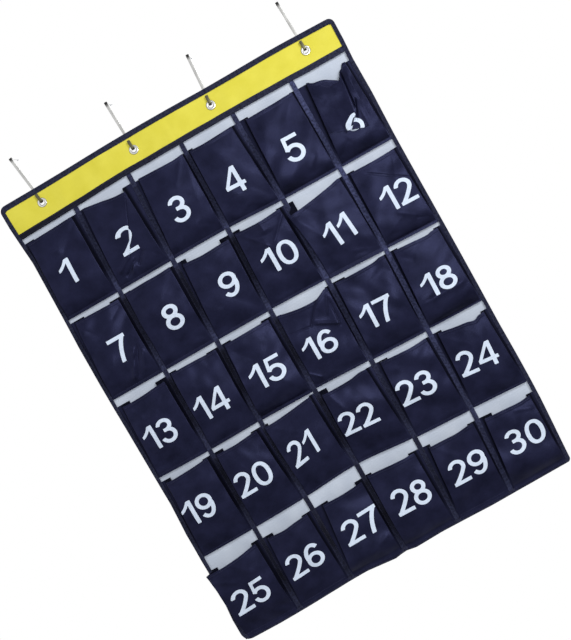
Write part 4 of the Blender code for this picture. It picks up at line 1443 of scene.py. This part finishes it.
def navy_oxford():
    """The pockets' cloth, with painted shade, dull and black, in the gaps beside their fronts."""
    finish = oxford("navy_oxford", (0.0003, 0.0003, 0.0030), (0.0105, 0.0112, 0.0310), 0.36, 0.20)
    shade = finish.split(finish.node("ShaderNodeUVMap", {}, uv_map="pleat"))[0]
    # Painted shade: near black and dull in the gaps beside the fronts
    finish.paint(shade, finish.colour, (0.001, 0.001, 0.002))
    finish.set("Roughness", finish.add(finish.gloss, finish.times(shade, 0.55)))
    finish.set("Specular Tint", (0.42, 0.47, 1.0))
    finish.set("Sheen Weight", 0.05)
    finish.set("Sheen Roughness", 0.35)
    finish.set("Sheen Tint", (0.55, 0.62, 1.0))
    return finish.material


def yellow_oxford():
    return oxford("yellow_oxford", (0.66, 0.595, 0.052), (0.74, 0.675, 0.085), 0.62, 0.15).material


def grosgrain(name, dark, light):
    """Ribbed tape: fine ribs across it, with a little fuzz."""
    finish = Finish(name, light, 0.7, specular=0.06)
    place = finish.place()
    ribs = finish.weave(place, GROSGRAIN_PITCH)
    fuzz = finish.noise(place, 3.5 * MM, 4.0)
    finish.paint(finish.ramp(finish.add(fuzz, finish.times(ribs, 0.1)), 0.36, 0.64), dark, light)
    finish.set("Roughness", finish.spread(fuzz, 0.6, 0.8))
    finish.set("Sheen Weight", 0.08)
    finish.set("Normal", finish.bump(fuzz, 0.08 * MM, finish.bump(ribs, 0.10 * MM)))
    return finish


def edge_tape():
    return grosgrain("navy_edging", (0.007, 0.008, 0.020), (0.026, 0.029, 0.060)).material


def seam_tape():
    """The tape below the header, blacker towards the left."""
    finish = grosgrain("navy_tape", (0.009, 0.010, 0.023), (0.034, 0.038, 0.074))
    rightward_tone = finish.ramp(finish.split(finish.place())[0], SHEET_LEFT, SHEET_RIGHT, 0.15, 1.0)
    # Darker towards the left, near black at the left end
    finish.paint(rightward_tone, (0.003, 0.003, 0.006), finish.colour)
    return finish.material


def divider_tape():
    """Paler tape, with painted shade where it lies deep between the bulging pockets of each row, and
    more painted shade to the left and lower down."""
    finish = grosgrain("navy_divider_tape", (0.024, 0.027, 0.066), (0.072, 0.083, 0.185))
    across, up, _ = finish.split(finish.place())
    rows_up = finish.math("DIVIDE", finish.math("SUBTRACT", up, GRID_BOTTOM), ROW_PITCH)
    height = finish.math("FRACT", rows_up)
    below = finish.ramp(height, 0.10, 0.50, 1.0, 0.0)
    above = finish.ramp(height, 0.84, 0.92, 0.0, 0.6)
    near_side = finish.ramp(across, TAPE_PLACES[2], TAPE_PLACES[4], 0.25, 1.0)
    top_row = finish.ramp(rows_up, ROWS - 1, ROWS - 0.9, 0.0, 0.55)
    # Painted light: the tape is lit below each row's pockets, above their mouths, towards the right and
    # in the top row, and has painted shade elsewhere
    unshaded_share = finish.larger(finish.larger(below, above), finish.larger(near_side, top_row))
    # The painted shade deepens towards the left and in the lower rows
    light_across = finish.ramp(across, TAPE_PLACES[2], TAPE_PLACES[4], 0.55, 1.0)
    light_level = finish.times(light_across, finish.ramp(rows_up, 1.0, 3.5, 0.42, 1.0))
    cloud = finish.ramp(finish.noise(finish.place(), 40 * MM), 0.4, 0.6, 0.0, 0.12)
    # Near black painted shade where the tape lies in the channels
    finish.paint(finish.add(finish.times(unshaded_share, light_level), cloud), (0.002, 0.002, 0.004), finish.colour)
    return finish.material


def grey_felt():
    """Non-woven backing: fine fibres, pressed with a grid of small dimples."""
    finish = Finish("grey_non_woven", (0.46, 0.53, 0.60), 0.85, specular=0.2)
    place = finish.place()
    dimples = finish.weave(place, DIMPLE_PITCH)
    fibres = finish.noise(finish.stretched(place, (1, 3, 1)), 0.9 * MM, 4.0)
    cloud = finish.noise(place, 35 * MM, 2.0)
    tone = finish.add(finish.blend(fibres, 0.5, cloud, 0.5), finish.times(dimples, 0.06))
    finish.paint(finish.ramp(tone, 0.35, 0.65), (0.46, 0.515, 0.62), (0.56, 0.615, 0.71))
    finish.set("Sheen Weight", 0.15)
    finish.set("Normal", finish.bump(fibres, 0.10 * MM, finish.bump(dimples, 0.08 * MM)))
    return finish.material


def number_film():
    """Light film pressed into the weave, which shows through it, and rubbed thin in places."""
    finish = Finish("number_film", (0.61, 0.69, 0.815), 0.55, specular=0.3)
    place = finish.place()
    weave = finish.weave(place, OXFORD_PITCH)
    rub = finish.noise(place, 6 * MM, 4.0)
    speck = finish.noise(place, 0.7 * MM, 2.0)
    tone = finish.spread(finish.add(rub, finish.times(weave, 0.1)))
    finish.paint(tone, (0.60, 0.690, 0.840), (0.69, 0.778, 0.918))
    worn = finish.ramp(finish.blend(rub, 0.6, speck, 0.4), 0.62, 0.74)
    finish.paint(worn, finish.colour, (0.30, 0.34, 0.47))
    finish.set("Roughness", finish.spread(speck, 0.45, 0.62))
    finish.set("Normal", finish.bump(weave, 0.07 * MM))
    return finish.material


def navy_thread():
    finish = Finish("navy_thread", (0.035, 0.038, 0.080), 0.6, specular=0.2)
    twist = finish.noise(finish.space(), 0.5 * MM, 1.0)
    finish.paint(twist, (0.022, 0.024, 0.055), (0.05, 0.054, 0.105))
    finish.set("Roughness", finish.spread(twist, 0.5, 0.75))
    return finish.material


def nickel():
    """Nickel plate: fine polishing marks, small dull spots, painted shade in the bore and a painted
    shadow at the rim.
    """
    finish = Finish("nickel_plate", (0.62, 0.61, 0.59), 0.22, metallic=1.0)
    spots = finish.noise(finish.space(), 1.6 * MM, 4.0)
    marks = finish.noise(finish.stretched(finish.space(), (1, 1, 9)), 0.8 * MM, 3.0)
    radius = finish.split(finish.place())[0]
    bore, rim = eyelet_radii(1)
    inner = finish.ramp(radius, bore + BORE_PAINTED_SHADE[0], bore + BORE_PAINTED_SHADE[1], 1.0, 0.0)
    outer = finish.ramp(radius, rim - RIM_PAINTED_SHADOW[1], rim - RIM_PAINTED_SHADOW[0], 0.0, 0.8)
    finish.paint(spots, (0.36, 0.36, 0.35), (0.62, 0.62, 0.60))
    # Painted shade in the bore and a painted shadow at the rim
    finish.paint(finish.larger(inner, outer), finish.colour, (0.035, 0.035, 0.04))
    finish.set("Roughness", finish.spread(marks, 0.14, 0.34))
    finish.set("Normal", finish.bump(marks, 0.02 * MM))
    return finish.material


def zinc_steel():
    """Zinc-plated strip: drawn lengthwise and cloudy, with a painted reflection of the white backdrop
    at the back, a painted shadow at its front bend, and painted shade and reflection at its tip."""
    finish = Finish("zinc_steel", (0.45, 0.45, 0.45), 0.35, metallic=1.0)
    drawn = finish.noise(finish.stretched(finish.space(), (12, 12, 1)), 9 * MM, 3.0)
    cloud = finish.noise(finish.space(), 14 * MM, 3.0)
    _, depth, height = finish.split(finish.space())
    front = finish.ramp(depth, *HOOK_FRONT_DEPTHS, 1.0, 0.0)
    bend = finish.times(front, finish.ramp(height, *HOOK_BEND_HEIGHTS))
    tip = finish.ramp(depth, *HOOK_TIP_DEPTHS, 1.0, 0.0)
    finish.paint(cloud, (0.26, 0.26, 0.255), (0.56, 0.56, 0.55))
    # Painted reflection of the white backdrop: near white away from the front leg
    finish.paint(front, (0.93, 0.93, 0.93), finish.colour)
    # Painted shadow on the bend at the top of the front leg
    finish.paint(bend, finish.colour, (0.03, 0.03, 0.03))
    # Painted shade and dark olive painted reflection at the tip
    finish.paint(tip, finish.colour, (0.085, 0.08, 0.05))
    finish.set("Roughness", finish.spread(drawn, 0.26, 0.46))
    finish.set("Normal", finish.bump(drawn, 0.03 * MM))
    return finish.material


def grey_board():
    """Pressed paper board, seen only through the eyelets' holes and at the seams."""
    finish = Finish("grey_board", (0.33, 0.31, 0.28), 0.85, specular=0.2)
    chips = finish.noise(finish.space(), 1.2 * MM, 4.0)
    finish.paint(chips, (0.26, 0.24, 0.21), (0.40, 0.38, 0.34))
    finish.set("Normal", finish.bump(chips, 0.08 * MM))
    return finish.material


# Room
def add_camera():
    """The camera of the photograph."""
    data = bpy.data.cameras.new("camera")
    data.sensor_fit = "AUTO"
    data.sensor_width = SENSOR_WIDTH
    data.lens = FOCAL_PIXELS * SENSOR_WIDTH / IMAGE_HEIGHT
    data.clip_end = 100
    camera = bpy.data.objects.new("camera", data)
    facing = Euler((math.pi / 2 + CAMERA_PITCH, 0, CAMERA_YAW)).to_matrix()
    rolled = Euler((0, 0, CAMERA_ROLL)).to_matrix()
    camera.matrix_world = Matrix.Translation(CAMERA_PLACE) @ (facing @ rolled).to_4x4()
    bpy.context.scene.collection.objects.link(camera)
    bpy.context.scene.camera = camera


def add_softbox(name, place, target, size, watts):
    data = bpy.data.lights.new(name, "AREA")
    data.shape = "RECTANGLE"
    data.size, data.size_y = size
    data.energy = watts
    light = bpy.data.objects.new(name, data)
    light.location = place
    light.rotation_euler = (Vector(target) - Vector(place)).to_track_quat("-Z", "Y").to_euler()
    bpy.context.scene.collection.objects.link(light)


def background_share(tree):
    """A socket that is 1 on the rays that see the background, and 0 on those that light."""
    path = tree.nodes.new("ShaderNodeLightPath")
    seen = path.outputs["Is Camera Ray"]
    for name in ("Is Glossy Ray", "Is Transmission Ray"):
        larger = tree.nodes.new("ShaderNodeMath")
        larger.operation = "MAXIMUM"
        tree.links.new(seen, larger.inputs[0])
        tree.links.new(path.outputs[name], larger.inputs[1])
        seen = larger.outputs[0]
    return seen


def light_room():
    """A room that is white where it is seen and dimmer where it lights, and the softboxes."""
    world = bpy.data.worlds.new("room")
    bpy.context.scene.world = world
    world.use_nodes = True
    tree = world.node_tree
    backdrop = tree.nodes["Background"]
    backdrop.inputs["Color"].default_value = (1, 1, 1, 1)
    strength = tree.nodes.new("ShaderNodeMapRange")
    strength.inputs["To Min"].default_value = AMBIENT_LEVEL
    strength.inputs["To Max"].default_value = 1.0
    tree.links.new(background_share(tree), strength.inputs["Value"])
    tree.links.new(strength.outputs["Result"], backdrop.inputs["Strength"])
    centre = (0, 0, (SHEET_TOP + SHEET_BOTTOM) / 2)
    for name, place, size, watts in SOFTBOXES:
        add_softbox(name, place, centre, size, watts)


def add_floor():
    bpy.ops.mesh.primitive_plane_add(size=FLOOR_SIZE, location=(0, 0, FLOOR_LEVEL))
    floor = bpy.context.object
    floor.name = "studio_floor"
    finish = Finish("floor_paint", (0.82, 0.82, 0.82), 0.8, specular=0.2)
    finish.paint(finish.noise(finish.space(), 0.4, 3.0), (0.80, 0.80, 0.80), (0.84, 0.84, 0.84))
    floor.data.materials.append(finish.material)


def build_chart():
    stations = edge_stations()
    backing = make_backing(grey_felt())
    header = make_header(yellow_oxford())
    make_board(grey_board())
    uprights = divider_tape()
    tapes = [make_header_tape(seam_tape()), *(make_upright_tape(k, uprights) for k in range(1, COLUMNS))]
    bindings = make_bindings(edge_tape(), stations)
    pockets = [Pocket(number) for number in POCKET_SHARES]
    navy, film = navy_oxford(), number_film()
    sewn = [make_pocket(pocket, navy) for pocket in pockets]
    glyphs = {digit: glyph_mesh(digit) for digit in "0123456789"}
    for pocket in pockets:
        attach(make_number(pocket, glyphs, film), "chart")
    make_stitches(pockets, stations, navy_thread())
    plate, steel = nickel(), zinc_steel()
    numbers = range(1, len(EYELETS) + 1)
    for k in numbers:
        make_eyelet(k, plate)
        make_washer(k, plate)
    for k in numbers:
        make_hook(k, steel)


bpy.context.scene.view_settings.view_transform = "Standard"
add_camera()
light_room()
add_floor()
build_chart()
